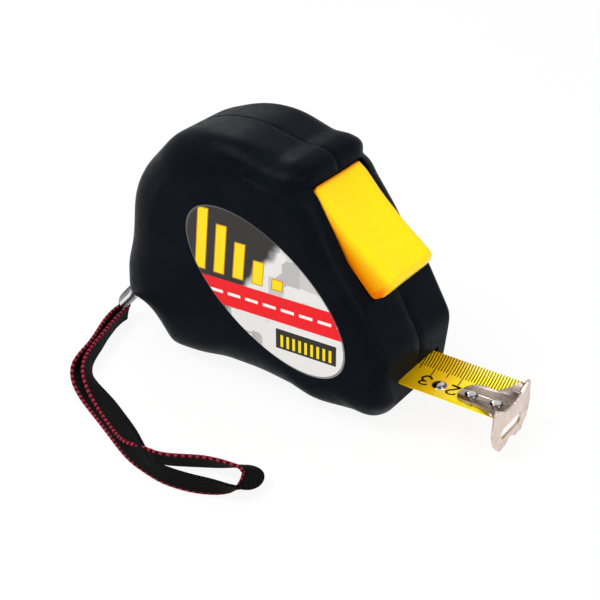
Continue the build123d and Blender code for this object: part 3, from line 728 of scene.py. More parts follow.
# ---------------------------------------------------------------- stage
class TAPE_OT_stage(bpy.types.Operator):
    """Adds the floor, the soft lamps and the camera"""
    bl_idname = "tape.stage"
    bl_label = "Stage"

    def execute(self, context):
        values = context.scene.tape_stage
        self.add_camera(context, values)
        self.add_floor(context)
        self.add_light(context, values)
        context.scene.view_settings.view_transform = "Standard"
        return {"FINISHED"}

    def add_camera(self, context, values):
        """A camera 444 mm from its target, 34.85 degrees round from the front and 30.18 degrees up."""
        target = Vector((6.222, 0, 24.861)) * MM
        round_way, up_way = math.radians(34.85), math.radians(30.18)
        back = Vector((math.sin(round_way) * math.cos(up_way), -math.cos(round_way) * math.cos(up_way),
                       math.sin(up_way)))
        data = bpy.data.cameras.new("view")
        data.lens = values.lens
        data.sensor_width = 36.0
        data.clip_start, data.clip_end = 0.01, 20
        camera = bpy.data.objects.new("view", data)
        camera.location = target + back * 0.44427
        camera.rotation_mode = "QUATERNION"
        camera.rotation_quaternion = (-back).to_track_quat("-Z", "Y")
        context.scene.collection.objects.link(camera)
        context.scene.camera = camera

    def add_floor(self, context):
        """A wide white floor; the camera and shiny surfaces see it as white, less part of its shadows."""
        side = 6.0
        corners = [(-side, -side, 0), (side, -side, 0), (side, side, 0), (-side, side, 0)]
        made, tree, shader, place = start_material("pale_floor", rgb(0.86, 0.86, 0.86), 0.9)
        grain = put(tree, "ShaderNodeTexNoise", {"Vector": place, "Scale": 400.0, "Detail": 2.0})
        shade = mix(tree, grain.outputs[0], rgb(0.85, 0.85, 0.85), rgb(0.88, 0.88, 0.88))
        tree.links.new(shade, shader.inputs["Base Color"])
        glow = put(tree, "ShaderNodeEmission", {"Color": rgb(1, 1, 1), "Strength": 1.0})
        path = put(tree, "ShaderNodeLightPath").outputs
        seen = calc(tree, "MAXIMUM", path["Is Camera Ray"],
                    calc(tree, "MAXIMUM", path["Is Glossy Ray"], path["Is Transmission Ray"]))
        share = calc(tree, "MULTIPLY", seen, 0.9)
        blend = put(tree, "ShaderNodeMixShader", {0: share, 1: shader.outputs[0], 2: glow.outputs[0]})
        tree.links.new(blend.outputs[0], tree.nodes["Material Output"].inputs["Surface"])
        mesh = bpy.data.meshes.new("floor")
        mesh.from_pydata(corners, [], [(0, 1, 2, 3)])
        mesh.materials.append(made)
        floor = bpy.data.objects.new("floor", mesh)
        context.scene.collection.objects.link(floor)

    def add_light(self, context, values):
        """A pale world, a large lamp high on the left and a smaller one behind."""
        world = bpy.data.worlds.new("surroundings")
        world.use_nodes = True
        tree = world.node_tree
        plain = tree.nodes["Background"]
        plain.inputs["Color"].default_value = rgb(1, 1, 1)
        plain.inputs["Strength"].default_value = values.fill
        white = put(tree, "ShaderNodeBackground", {"Color": rgb(1, 1, 1), "Strength": 1.0})
        path = put(tree, "ShaderNodeLightPath").outputs
        seen = calc(tree, "MAXIMUM", path["Is Camera Ray"], path["Is Transmission Ray"])
        blend = put(tree, "ShaderNodeMixShader", {0: seen, 1: plain.outputs[0], 2: white.outputs[0]})
        tree.links.new(blend.outputs[0], tree.nodes["World Output"].inputs["Surface"])
        context.scene.world = world
        lamps = [
            ("key", (-0.25, -0.32, 0.62), 0.34, values.key),
            ("rear", (-0.42, 0.38, 0.45), 0.25, values.key * 0.3),
            ("side", (0.5, -0.1, 0.35), 0.3, values.key * 0.35),
        ]
        for name, place, size, power in lamps:
            data = bpy.data.lights.new(name, "AREA")
            data.shape = "DISK"
            data.size = size
            data.energy = power
            lamp = bpy.data.objects.new(name, data)
            lamp.location = place
            lamp.rotation_mode = "QUATERNION"
            aim = Vector((0, 0, 0.03)) - Vector(place)
            lamp.rotation_quaternion = aim.to_track_quat("-Z", "Y")
            context.scene.collection.objects.link(lamp)


# ---------------------------------------------------------------- wrist strap
RING_TWIST = math.radians(42)  # turn of the ring's band about its own length, from its pin to its lower end

# Each point: the centreline's place, and the way from it to the stitched edge. The inner ply leads from the
# ring to where the loop starts; the outer one goes on round the loop and comes back to meet it there.
INNER_PLY = [
    ((-61.6, -11.2, 3.5), (0.3, 0, 1)), ((-60.5, -11.8, 3.5), (0.3, 0, 1)),
    ((-60.2, -14.6, 3.6), (0.35, 0, 0.95)), ((-59.3, -19.0, 3.7), (0.35, 0, 0.95)),
    ((-57.8, -23.6, 3.8), (0.3, 0, 0.95)), ((-56.2, -28.2, 3.8), (0.25, 0, 0.97)),
    ((-54.3, -33.0, 3.8), (0.15, 0, 1)), ((-52.6, -38.0, 3.8), (0.05, 0, 1)),
    ((-50.3, -43.2, 3.8), (-0.05, -0.05, 1)), ((-46.9, -48.2, 3.8), (-0.25, -0.25, 0.93)),
    ((-42.2, -52.2, 3.5), (-0.45, -0.55, 0.7)), ((-36.2, -55.6, 2.9), (-0.5, -0.8, 0.35)),
    ((-29.4, -58.8, 2.4), (-0.45, -0.87, 0)), ((-22.2, -62.4, 2.2), (-0.45, -0.87, -0.12)),
    ((-14.6, -66.2, 2.2), (-0.45, -0.87, -0.1)), ((-7.6, -69.8, 2.5), (-0.4, -0.8, 0.4)),
    ((-0.8, -72.4, 3.3), (-0.1, -0.4, 0.9)), ((3.4, -72.4, 3.6), (0.2, -0.36, 0.9)),
]
OUTER_PLY = [
    ((-61.6, -11.2, 3.5), (0.3, 0, 1)), ((-62.7, -11.8, 3.6), (0.3, 0, 1)),
    ((-62.6, -14.8, 3.8), (0.15, 0, 1)), ((-61.5, -19.4, 3.8), (0, 0, 1)),
    ((-60.0, -24.4, 3.8), (0, 0, 1)), ((-57.9, -29.4, 3.8), (0, 0, 1)),
    ((-55.5, -34.8, 3.8), (0, 0, 1)), ((-53.3, -40.4, 3.8), (-0.05, 0, 1)),
    ((-51.6, -45.6, 3.8), (-0.15, -0.1, 0.97)), ((-48.9, -50.6, 3.5), (-0.4, -0.35, 0.8)),
    ((-44.2, -54.6, 2.6), (-0.55, -0.7, 0.5)), ((-37.6, -57.6, 1.7), (-0.5, -0.85, 0.1)),
    ((-29.4, -61.0, 1.7), (-0.45, -0.85, -0.25)), ((-20.6, -65.2, 2.1), (-0.45, -0.81, -0.37)),
    ((-11.4, -69.9, 2.6), (-0.4, -0.75, -0.5)), ((-3.4, -74.4, 3.7), (-0.2, -0.45, -0.85)),
    ((4.2, -77.4, 4.0), (0, 0, -1)), ((10.3, -78.2, 4.0), (0, 0, -1)),
    ((15.8, -77.7, 4.0), (0, 0, -1)), ((21.6, -76.4, 4.0), (0, 0.05, -1)),
    ((27.2, -74.2, 3.9), (-0.1, 0.2, -0.95)), ((31.4, -71.8, 3.5), (-0.5, 0.35, -0.75)),
    ((33.6, -68.8, 2.9), (-0.85, 0.1, -0.4)), ((34.0, -65.2, 3.0), (-0.95, -0.2, -0.05)),
    ((32.8, -62.0, 3.6), (-0.8, -0.5, 0.2)), ((29.4, -61.2, 3.9), (-0.5, -0.8, 0.4)),
    ((25.8, -62.3, 3.9), (-0.1, -0.8, 0.6)), ((21.6, -64.0, 3.8), (0.1, -0.55, 0.8)),
    ((16.4, -66.2, 3.7), (0.21, -0.36, 0.9)), ((11.0, -69.4, 3.7), (0.21, -0.36, 0.9)),
    ((6.6, -71.8, 3.7), (0.2, -0.36, 0.9)), ((3.4, -72.4, 3.6), (0.2, -0.36, 0.9)),
]


def spline_points(name, points):
    """Points read from a smooth NURBS line of order 3 that has the given control points."""
    curve = bpy.data.curves.new(name, "CURVE")
    curve.dimensions = "3D"
    curve.resolution_u = 18
    spline = curve.splines.new("NURBS")
    spline.points.add(len(points) - 1)
    for point, place in zip(spline.points, points):
        point.co = (*place, 1.0)
    spline.order_u = 3
    spline.use_endpoint_u = True
    holder = bpy.data.objects.new(name, curve)
    bpy.context.scene.collection.objects.link(holder)
    mesh = bpy.data.meshes.new_from_object(holder)
    line = np.array([v.co for v in mesh.vertices], float)
    bpy.data.objects.remove(holder)
    bpy.data.curves.remove(curve)
    bpy.data.meshes.remove(mesh)
    return line


def ribbon_rings(line, towards, width, thickness, stitch):
    """Rings of a flat woven strip with a rounded bead on each edge, carried along a line.

    At each place the strip's way across is `towards` made square to the line, its way out is their cross
    product, and the stitched bead swells once for each stitch.
    """
    run = np.gradient(line, axis=0)
    run /= np.linalg.norm(run, axis=1)[:, None]
    across = towards - (towards * run).sum(axis=1)[:, None] * run
    across /= np.linalg.norm(across, axis=1)[:, None]
    out = np.cross(run, across)
    far = np.concatenate([[0], np.cumsum(np.linalg.norm(np.diff(line, axis=0), axis=1))])
    bead = thickness * 0.56
    reach = width / 2 - bead
    turn = np.radians(np.linspace(75, -75, 7))
    right = np.column_stack([reach + bead * np.cos(turn), bead * np.sin(turn)])
    flat = np.linspace(0.82, -0.82, 7) * reach
    under = np.column_stack([flat, np.full(7, -thickness * 0.42)])
    profile = np.concatenate([right, under, -right, -under])
    swell = 1 + 0.13 * np.abs(np.sin(math.pi * far / stitch))
    edge = (np.arange(len(profile)) < 7) * 1.0
    rise = 1 + (swell[:, None] - 1) * edge[None, :]
    offset = profile[None, :, 1] * rise
    reach_out = profile[None, :, 0] + edge[None, :] * (swell[:, None] - 1) * bead
    rings = line[:, None] + reach_out[..., None] * across[:, None] + offset[..., None] * out[:, None]
    shape = rings.shape[:2]
    along = np.broadcast_to(far[:, None], shape)
    return rings, {"along": along, "across": np.broadcast_to(profile[None, :, 0], shape)}, far[-1]


def webbing_material(values):
    """Black ribbed webbing whose one edge has a dashed line of stitches."""
    black = rgb(0.003, 0.003, 0.004)
    made, tree, shader, _ = start_material("webbing", black, 0.75, Specular_IOR_Level=0.06)
    along = attribute(tree, "along")
    across = attribute(tree, "across")
    weave = put(tree, "ShaderNodeGroup", {"Along": along, "Across": across}, node_tree=weave_group())
    cloth = mix(tree, weave.outputs["Shade"], rgb(0.001, 0.001, 0.0013), rgb(0.0065, 0.0062, 0.0068))
    phase = calc(tree, "FRACT", calc(tree, "DIVIDE", along, values.stitch))
    dash = calc(tree, "MULTIPLY", between(tree, phase, 0.06, 0.14),
                invert(tree, between(tree, phase, 0.74, 0.84)))
    inner_edge = values.width / 2 - 0.0010
    edge = between(tree, across, inner_edge, inner_edge + 0.0003)
    mask = calc(tree, "MULTIPLY", dash, edge)
    # painted highlight: the middle of each stitch turns a lighter pink
    middle = calc(tree, "MULTIPLY", between(tree, phase, 0.2, 0.4),
                  invert(tree, between(tree, phase, 0.5, 0.7)))
    thread = mix(tree, calc(tree, "MULTIPLY", middle, 0.5), tuple(values.thread), rgb(0.46, 0.06, 0.10))
    tree.links.new(mix(tree, mask, cloth, thread), shader.inputs["Base Color"])
    add_bump(tree, shader, weave.outputs["Height"], 0.00018)
    return made


class TAPE_OT_strap(bpy.types.Operator):
    """Builds the two plies of the wrist strap, the ring and its pin"""
    bl_idname = "tape.strap"
    bl_label = "Wrist strap"

    def execute(self, context):
        values = context.scene.tape_strap
        cloth = webbing_material(values)
        plies = [("strap_inner_ply", INNER_PLY, ["strap_eye", "strap_stem"]),
                 ("strap_outer_ply", OUTER_PLY, ["strap_loop"])]
        for name, route, nodes in plies:
            line = spline_points(name, [np.array(place) * MM for place, _ in route])
            towards = spline_points(name, [way for _, way in route])
            rings, marks, length = ribbon_rings(line, towards, values.width, values.thickness, values.stitch)
            rings[..., 2] = np.maximum(rings[..., 2], 0.05 * MM)
            piece = tube_piece(name, rings, cloth, marks, sharp=60)
            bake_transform(piece)
            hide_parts(*nodes)
        steel = metal_material("plain_steel", rgb(0.5, 0.5, 0.5), rgb(0.7, 0.7, 0.7), 0.3)
        pin = self.pin(steel)
        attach(pin, "case")
        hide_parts("strap_pin")
        ring = self.ring(self.ring_material())
        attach(ring, "ring")
        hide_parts("strap_ring")
        return {"FINISHED"}

    def pin(self, finish):
        """The ring's pin: a round bar across the pocket, with its ends sunk in the pocket's walls."""
        turn = np.linspace(0, 2 * math.pi, 33)[:-1]
        x, z = (pin_low.x + pin_high.x) / 2, (pin_low.z + pin_high.z) / 2
        radius = (pin_high.x - pin_low.x) / 2
        stations = np.array([[-14.2, 0.0], [-14.2, 0.8], [-14.0, 1.0], [-4.5, 1.0], [-4.3, 0.8], [-4.3, 0.0]])
        reach = radius * stations[:, 1][:, None]
        points = np.stack([x + reach * np.cos(turn), np.broadcast_to(stations[:, :1] * MM, (6, 32)),
                           z + reach * np.sin(turn)], axis=-1)
        return make_piece("ring_pin", points, grid_faces(6, 32, wrap_columns=True), finish)

    def ring(self, finish):
        """A band 5 mm wide in a long loop round its pin, which drifts towards -Y and twists down its length.

        Along the loop's length: 6.8 + 8.2 * cos(t), and across it: 1.2 * sin(t) with its flanks filled out.
        """
        turn = np.linspace(0, 2 * math.pi, 97)[:-1]
        flank = np.sign(np.sin(turn)) * np.abs(np.sin(turn)) ** 0.7
        middle = np.column_stack([6.8 + 8.2 * np.cos(turn), 1.2 * flank])
        middle = evenly(smooth_closed(middle, 2), 96)
        run = np.roll(middle, -1, axis=0) - np.roll(middle, 1, axis=0)
        out = np.column_stack([run[:, 1], -run[:, 0]])
        out /= np.linalg.norm(out, axis=1)[:, None]
        corner = np.radians(np.linspace(0, 360, 25)[:-1])
        wide = 2.5 * np.sign(np.cos(corner)) * np.abs(np.cos(corner)) ** 0.35
        thick = 0.38 * np.sign(np.sin(corner)) * np.abs(np.sin(corner)) ** 0.6
        flat = middle[:, None] + out[:, None] * thick[None, :, None]
        along, across = flat[..., 0], flat[..., 1]
        down, aside = np.array([-0.643, -0.766]), np.array([0.766, -0.643])
        pin = np.array([(pin_low.x + pin_high.x) / 2, (pin_low.z + pin_high.z) / 2]) / MM
        twist = RING_TWIST * smoothstep(along, 2.5, 8.0)
        turned = across * np.cos(twist) - wide[None, :] * np.sin(twist)
        side = pin + along[..., None] * down + turned[..., None] * aside
        drift = 2.9 * smoothstep(along, 3.0, 14.5)
        y = -9.25 + across * np.sin(twist) + wide[None, :] * np.cos(twist) - drift
        points = np.stack([side[..., 0], y, side[..., 1]], axis=-1) * MM
        faces = grid_faces(96, 24, wrap_rows=True, wrap_columns=True)
        marks = {"across": np.broadcast_to(wide[None, :] / 2.5, along.shape)}
        return make_piece("strap_ring_band", points, faces, finish, marks)

    def ring_material(self):
        """Silver grey strip with painted light and shade in soft lengthwise bands: pale on one edge, grey in
        the middle and near black on the other.
        """
        made, tree, shader, place = start_material("ring_strip", rgb(0.3, 0.32, 0.33), 0.25)
        across = attribute(tree, "across")
        # painted reflections: light on the band's -across edge, grey across its middle, dark on its +across
        # edge
        middle = mix(tree, between(tree, across, -0.75, -0.2), rgb(0.72, 0.73, 0.73), rgb(0.13, 0.15, 0.16))
        shade = mix(tree, between(tree, across, 0.1, 0.8), middle, rgb(0.02, 0.022, 0.025))
        tree.links.new(shade, shader.inputs["Base Color"])
        group = put(tree, "ShaderNodeGroup", {"Place": place}, node_tree=grain_group())
        add_bump(tree, shader, group.outputs["Height"], 0.00003)
        return made


# ---------------------------------------------------------------- case
class TAPE_OT_case(bpy.types.Operator):
    """Builds the two rubber covers and the shells inside them"""
    bl_idname = "tape.case"
    bl_label = "Case"

    def execute(self, context):
        values = context.scene.tape_case
        rubber = moulded_material("rubber_cover", tuple(values.rubber), tuple(values.rubber_light),
                                  values.roughness, 0.00004, grain=2500.0, spread=60.0,
                                  Specular_IOR_Level=0.03)
        plastic = moulded_material("black_plastic", rgb(0.006, 0.006, 0.007), rgb(0.012, 0.012, 0.013), 0.45,
                                   0.00002)
        for side, mirrored in (("left", False), ("right", True)):
            cover = cover_piece(f"{side}_cover", mirrored, rubber)
            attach(cover, "case")
            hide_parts(f"{side}_grip")
            shell = shell_piece(f"{side}_inner_shell", f"{side}_shell", mirrored, plastic)
            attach(shell, "case")
            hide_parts(f"{side}_shell")
        dress("mouth_bumper", rubber)
        dress("brake_pad", rubber)
        return {"FINISHED"}


# ---------------------------------------------------------------- label
class TAPE_OT_label(bpy.types.Operator):
    """Prints the oval side labels"""
    bl_idname = "tape.label"
    bl_label = "Labels"

    def execute(self, context):
        values = context.scene.tape_label
        for node in ("label_left", "label_right"):
            dress(node, self.material(values, node))
        return {"FINISHED"}

    def material(self, values, name):
        """A dark end with bars like a scale, a band, and a pale end with soft grey steps.

        Lengths are in millimetres: x runs along the case, z up it, and the edges of the band follow
        rise = z - 0.041 * x.
        """
        made, tree, shader, place = start_material(f"{name}_print", tuple(values.dark), 0.3,
                                                   Specular_IOR_Level=0.25)

        def do(*terms):
            return calc(tree, *terms)

        def both(first, second):
            return calc(tree, "MULTIPLY", first, second)

        def window(value, middle, reach):
            return calc(tree, "COMPARE", value, middle, reach)

        parts = put(tree, "ShaderNodeSeparateXYZ", {0: place}).outputs
        x = both(parts["X"], 1 / MM)
        z = both(parts["Z"], 1 / MM)
        rise = do("MULTIPLY_ADD", x, -0.041, z)
        band_low, band_high, blur = 28.85, 38.15, 0.15
        above_band = between(tree, rise, band_high, band_high + blur)
        below_band = invert(tree, between(tree, rise, band_low, band_low + blur))
        # dark end: falls off to the pale end along a slanting, wavy line
        noise = put(tree, "ShaderNodeTexNoise", {"Vector": place, "Scale": 160.0, "Detail": 1.0}).outputs[0]
        slant = do("MULTIPLY_ADD", x, 1.0, both(z, -0.75))
        pale_share = between(tree, do("MULTIPLY_ADD", noise, 9.0, slant), -26.5, -22.5)
        steps = put(tree, "ShaderNodeTexVoronoi", {"Vector": place, "Scale": 130.0, "Randomness": 0.8},
                    distance="CHEBYCHEV").outputs["Color"]
        grey = put(tree, "ShaderNodeSeparateColor", {0: steps}).outputs[0]
        pale = mix(tree, between(tree, grey, 0.1, 0.75), rgb(0.42, 0.41, 0.40), tuple(values.pale))
        lower_pale = mix(tree, between(tree, x, 2.0, 16.0), pale, rgb(0.80, 0.78, 0.76))
        field = mix(tree, pale_share, tuple(values.dark), mix(tree, below_band, pale, lower_pale))
        # bars of a scale, standing on the band and growing shorter towards the front
        pitch, bar_count, first_bar, bar_foot = 7.6, 5, -25.0, 40.0
        lean = do("MULTIPLY_ADD", z, -0.10, x)
        along = do("DIVIDE", do("ADD", lean, -first_bar), pitch)
        within = do("FRACT", along)
        number = do("FLOOR", along)
        counted = both(do("GREATER_THAN", number, -0.5), do("LESS_THAN", number, bar_count - 0.5))
        top = do("MULTIPLY_ADD", number, -4.6, 62.5)

        def bars(inset):
            sides = both(do("GREATER_THAN", within, 0.10 + inset / pitch),
                         do("LESS_THAN", within, 0.68 - inset / pitch))
            ends = both(do("GREATER_THAN", rise, bar_foot + inset),
                        do("LESS_THAN", rise, do("SUBTRACT", top, inset)))
            return both(counted, both(sides, ends))

        printed = mix(tree, bars(0.0), field, rgb(0.60, 0.24, 0.0))
        printed = mix(tree, bars(0.35), printed, tuple(values.bars))
        band = both(invert(tree, above_band), invert(tree, below_band))
        printed = mix(tree, band, printed, tuple(values.band))
        dash_pitch, dash_share = 7.0, 0.72
        dash = both(window(rise, 33.6, 0.55),
                    do("LESS_THAN", do("FRACT", do("DIVIDE", x, dash_pitch)), dash_share))
        printed = mix(tree, both(dash, band), printed, rgb(0.86, 0.84, 0.82))
        # dark strip with a row of ticks low on the pale end
        strip_x, tick_pitch, tick_share = 23.5, 2.3, 0.45
        strip = both(window(rise, 22.8, 3.6), window(x, strip_x, 11.5))
        tick = do("LESS_THAN", do("FRACT", do("DIVIDE", x, tick_pitch)), tick_share)
        inside = both(window(rise, 22.2, 2.2), window(x, strip_x, 10.4))
        printed = mix(tree, strip, printed, rgb(0.02, 0.018, 0.016))
        printed = mix(tree, both(tick, inside), printed, tuple(values.bars))
        # thin grey line round the rim of the oval
        cos_turn, sin_turn = math.cos(OVAL["turn"]), math.sin(OVAL["turn"])
        dx = do("SUBTRACT", x, OVAL["x"] / MM)
        dz = do("SUBTRACT", z, OVAL["z"] / MM)
        u = do("ADD", both(dx, cos_turn), both(dz, sin_turn))
        v = do("SUBTRACT", both(dz, cos_turn), both(dx, sin_turn))
        far = do("ADD", do("POWER", do("DIVIDE", u, OVAL["long"] / MM), 2.0),
                 do("POWER", do("DIVIDE", v, OVAL["short"] / MM), 2.0))
        rim = between(tree, far, 0.93, 0.945)
        printed = mix(tree, both(rim, 0.8), printed, rgb(0.10, 0.10, 0.10))
        tree.links.new(printed, shader.inputs["Base Color"])
        group = put(tree, "ShaderNodeGroup", {"Place": place}, node_tree=grain_group())
        add_bump(tree, shader, group.outputs["Mottle"], 0.00002)
        return made


# ---------------------------------------------------------------- thumb button
def button_profile(count):
    """Closed side outline of the button, (along, above) in mm: a hollow top, a rounded lip, a flat base."""
    along = np.linspace(0.9, 33.5, 40)
    top = np.interp(along, [0, 4, 9, 14, 20, 25, 30, 34], [-0.05, -0.35, -0.5, -0.25, 0.35, 1.05, 1.95, 2.55])
    top = np.convolve(np.pad(top, 3, "edge"), np.ones(7) / 7, "valid")
    line = [np.column_stack([along, top])]

    def arc(x, z, radius, first, last):
        turn = np.radians(np.linspace(first, last, 14))
        line.append(np.column_stack([x + radius * np.cos(turn), z + radius * np.sin(turn)]))

    arc(36.1, 0.0, 2.75, 95, 8)
    line.append(np.array([(39.15, -1.2), (39.25, -2.2), (39.2, -3.2), (38.9, -4.3)]))
    arc(36.9, -5.1, 1.8, 20, -88)
    line.append(np.array([(24.0, -6.9), (12.0, -6.9)]))
    arc(1.2, -5.7, 1.2, 270, 180)
    line.append(np.array([(0.0, -3.5)]))
    arc(0.6, -0.65, 0.6, 180, 92)
    return evenly(np.concatenate(line), count)


def button_piece(values, material):
    """The button: its side outline carried across and drawn in near both sides by a quarter circle."""
    count = 300
    outline = smooth_closed(button_profile(count), 2)
    along, above = outline.T
    run = np.roll(outline, -1, axis=0) - np.roll(outline, 1, axis=0)
    out = np.column_stack([run[:, 1], -run[:, 0]])
    out /= np.linalg.norm(out, axis=1)[:, None]
    if (out * (outline - outline.mean(axis=0))).sum() < 0:
        out = -out
    is_top = smoothstep(above, -3.0, -0.8)
    radius = smooth_closed(0.7 + is_top * (0.7 + 0.9 * smoothstep(along, 4.0, 16.0)), 6)
    half = np.interp(along, [0, 0.5, 3.7, 7.7, 13, 18, 24, 28.5, 33, 36, 39.3],
                     [12.4, 12.7, 13.6, 13.75, 13.8, 13.7, 13.3, 13.1, 13.1, 13.1, 12.9])
    half = smooth_closed(half, 6)
    quarter = np.linspace(0, math.pi / 2, 9)
    stations = [(share, 0.0) for share in np.linspace(-1, 1, 41)]
    stations = [(-1.0, t) for t in quarter[:0:-1]] + stations + [(1.0, t) for t in quarter[1:]]
    rings, flanks = [], []
    # flank share: where orange painted shade goes, round the top end, low down by the lip and over the side
    # roundings
    end = 0.9 * (1 - smoothstep(along, 0.0, 1.8))
    low = 0.45 * (1 - smoothstep(above, -5.0, -0.5))
    side = 0.3 + 0.7 * smoothstep(-above, -1.5, 3.0)
    for share, turn in stations:
        flank = side * (smoothstep(turn, 0.0, math.pi / 2) + 0.15 * smoothstep(abs(share), 0.9, 1.0))
        flanks.append(np.maximum(np.maximum(end, low), np.clip(flank, 0, 1)))
        y = share * (half - radius) + np.sign(share) * radius * math.sin(turn)
        inset = radius * (1 - math.cos(turn))
        pad = np.clip(1 - (y / (0.62 * half)) ** 2, 0, 1)
        wave = np.sin(2 * math.pi * (along - 7.0) / 19.0 * values.ribs)
        ribs = 0.10 * wave * smoothstep(along, 6, 9) * (1 - smoothstep(along, 25, 29))
        hollow = is_top * pad ** 0.8 * (-0.42 + ribs)
        place = outline - out * inset[:, None]
        height = place[:, 1] + hollow
        x = LOCK_ORIGIN.x + (LOCK_ALONG.x * place[:, 0] + LOCK_UP.x * height) * MM
        z = LOCK_ORIGIN.z + (LOCK_ALONG.z * place[:, 0] + LOCK_UP.z * height) * MM
        rings.append(np.column_stack([x, y * MM, z]))
    return tube_piece("thumb_button", np.array(rings), material, {"flank": np.array(flanks)}, sharp=50)


class TAPE_OT_button(bpy.types.Operator):
    """Builds the thumb button"""
    bl_idname = "tape.button"
    bl_label = "Thumb button"

    def execute(self, context):
        values = context.scene.tape_button
        piece = button_piece(values, self.material(values))
        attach(piece, "button")
        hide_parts("lock_button")
        return {"FINISHED"}

    def material(self, values):
        """Satin yellow plastic with painted shade that deepens it to orange down its flanks and round its
        ends.
        """
        made, tree, shader, place = start_material("button_plastic", tuple(values.yellow), 0.36,
                                                   Specular_IOR_Level=0.2)
        share = attribute(tree, "flank")
        group = put(tree, "ShaderNodeGroup", {"Place": place}, node_tree=grain_group())
        # the flank share is painted shade; the mottle adds a little random tone
        shade_and_mottle = calc(tree, "MULTIPLY_ADD", group.outputs["Mottle"], 0.06, share, clamp=True)
        tone = mix(tree, shade_and_mottle, tuple(values.yellow), tuple(values.orange))
        tree.links.new(tone, shader.inputs["Base Color"])
        add_bump(tree, shader, group.outputs["Height"], 0.00001)
        return made


# ---------------------------------------------------------------- blade
DIGITS = {
    2: [(True, [(0.3, 4.5), (0.8, 5.9), (2.6, 6.3), (4.0, 5.1), (3.6, 3.6), (1.9, 2.0), (0.3, 0.2)]),
        (False, [(0.2, 0.1), (4.0, 0.1)])],
    3: [(True, [(0.3, 4.9), (1.2, 6.3), (3.4, 6.0), (3.7, 4.4), (2.6, 3.3), (1.5, 3.25)]),
        (True, [(1.5, 3.25), (3.2, 3.2), (4.2, 1.8), (3.3, 0.1), (1.3, -0.2), (0.2, 1.1)])],
    4: [(False, [(3.0, 0.0), (3.0, 6.0), (0.2, 1.7), (4.1, 1.7)])],
    5: [(False, [(3.8, 6.0), (0.9, 6.0), (0.6, 3.2)]),
        (True, [(0.6, 3.2), (2.0, 4.1), (4.0, 3.2), (3.9, 0.7), (2.0, -0.4), (0.2, 0.9)])],
    6: [(True, [(3.4, 5.8), (1.6, 5.6), (0.4, 3.6), (0.3, 1.2), (1.7, -0.3), (3.6, 0.3), (3.9, 2.3),
                (2.6, 3.8), (1.1, 3.3), (0.4, 1.9)])],
    7: [(False, [(0.3, 6.0), (3.9, 6.0), (1.6, 0.0)])],
    8: [(True, [(2.0, 3.2), (0.5, 4.2), (0.8, 6.2), (3.2, 6.2), (3.5, 4.2), (2.0, 3.2), (0.1, 2.0),
                (0.6, -0.3), (3.4, -0.3), (3.9, 2.0), (2.0, 3.2)])],
    9: [(True, [(0.6, 0.2), (2.4, 0.4), (3.6, 2.4), (3.7, 4.8), (2.3, 6.3), (0.4, 5.7), (0.1, 3.7),
                (1.4, 2.2), (2.9, 2.7), (3.6, 4.1)])],
}


def stroke_line(points, curved):
    """A stroke's middle line: straight runs, or its corners cut a quarter of the way in, four times over."""
    line = np.array(points, float)
    if not curved:
        pieces = [np.linspace(a, b, 9)[:-1] for a, b in zip(line, line[1:])]
        return np.concatenate([*pieces, line[-1:]])
    for _ in range(4):
        near, far = line[:-1] * 0.75 + line[1:] * 0.25, line[:-1] * 0.25 + line[1:] * 0.75
        line = np.concatenate([line[:1], np.stack([near, far], axis=1).reshape(-1, 2), line[-1:]])
    return line


def blade_top(y):
    """Height of the blade's hollow side at y: axis - sqrt(radius ** 2 - y ** 2)."""
    return BLADE_AXIS - np.sqrt(BLADE_OVER ** 2 - y ** 2)


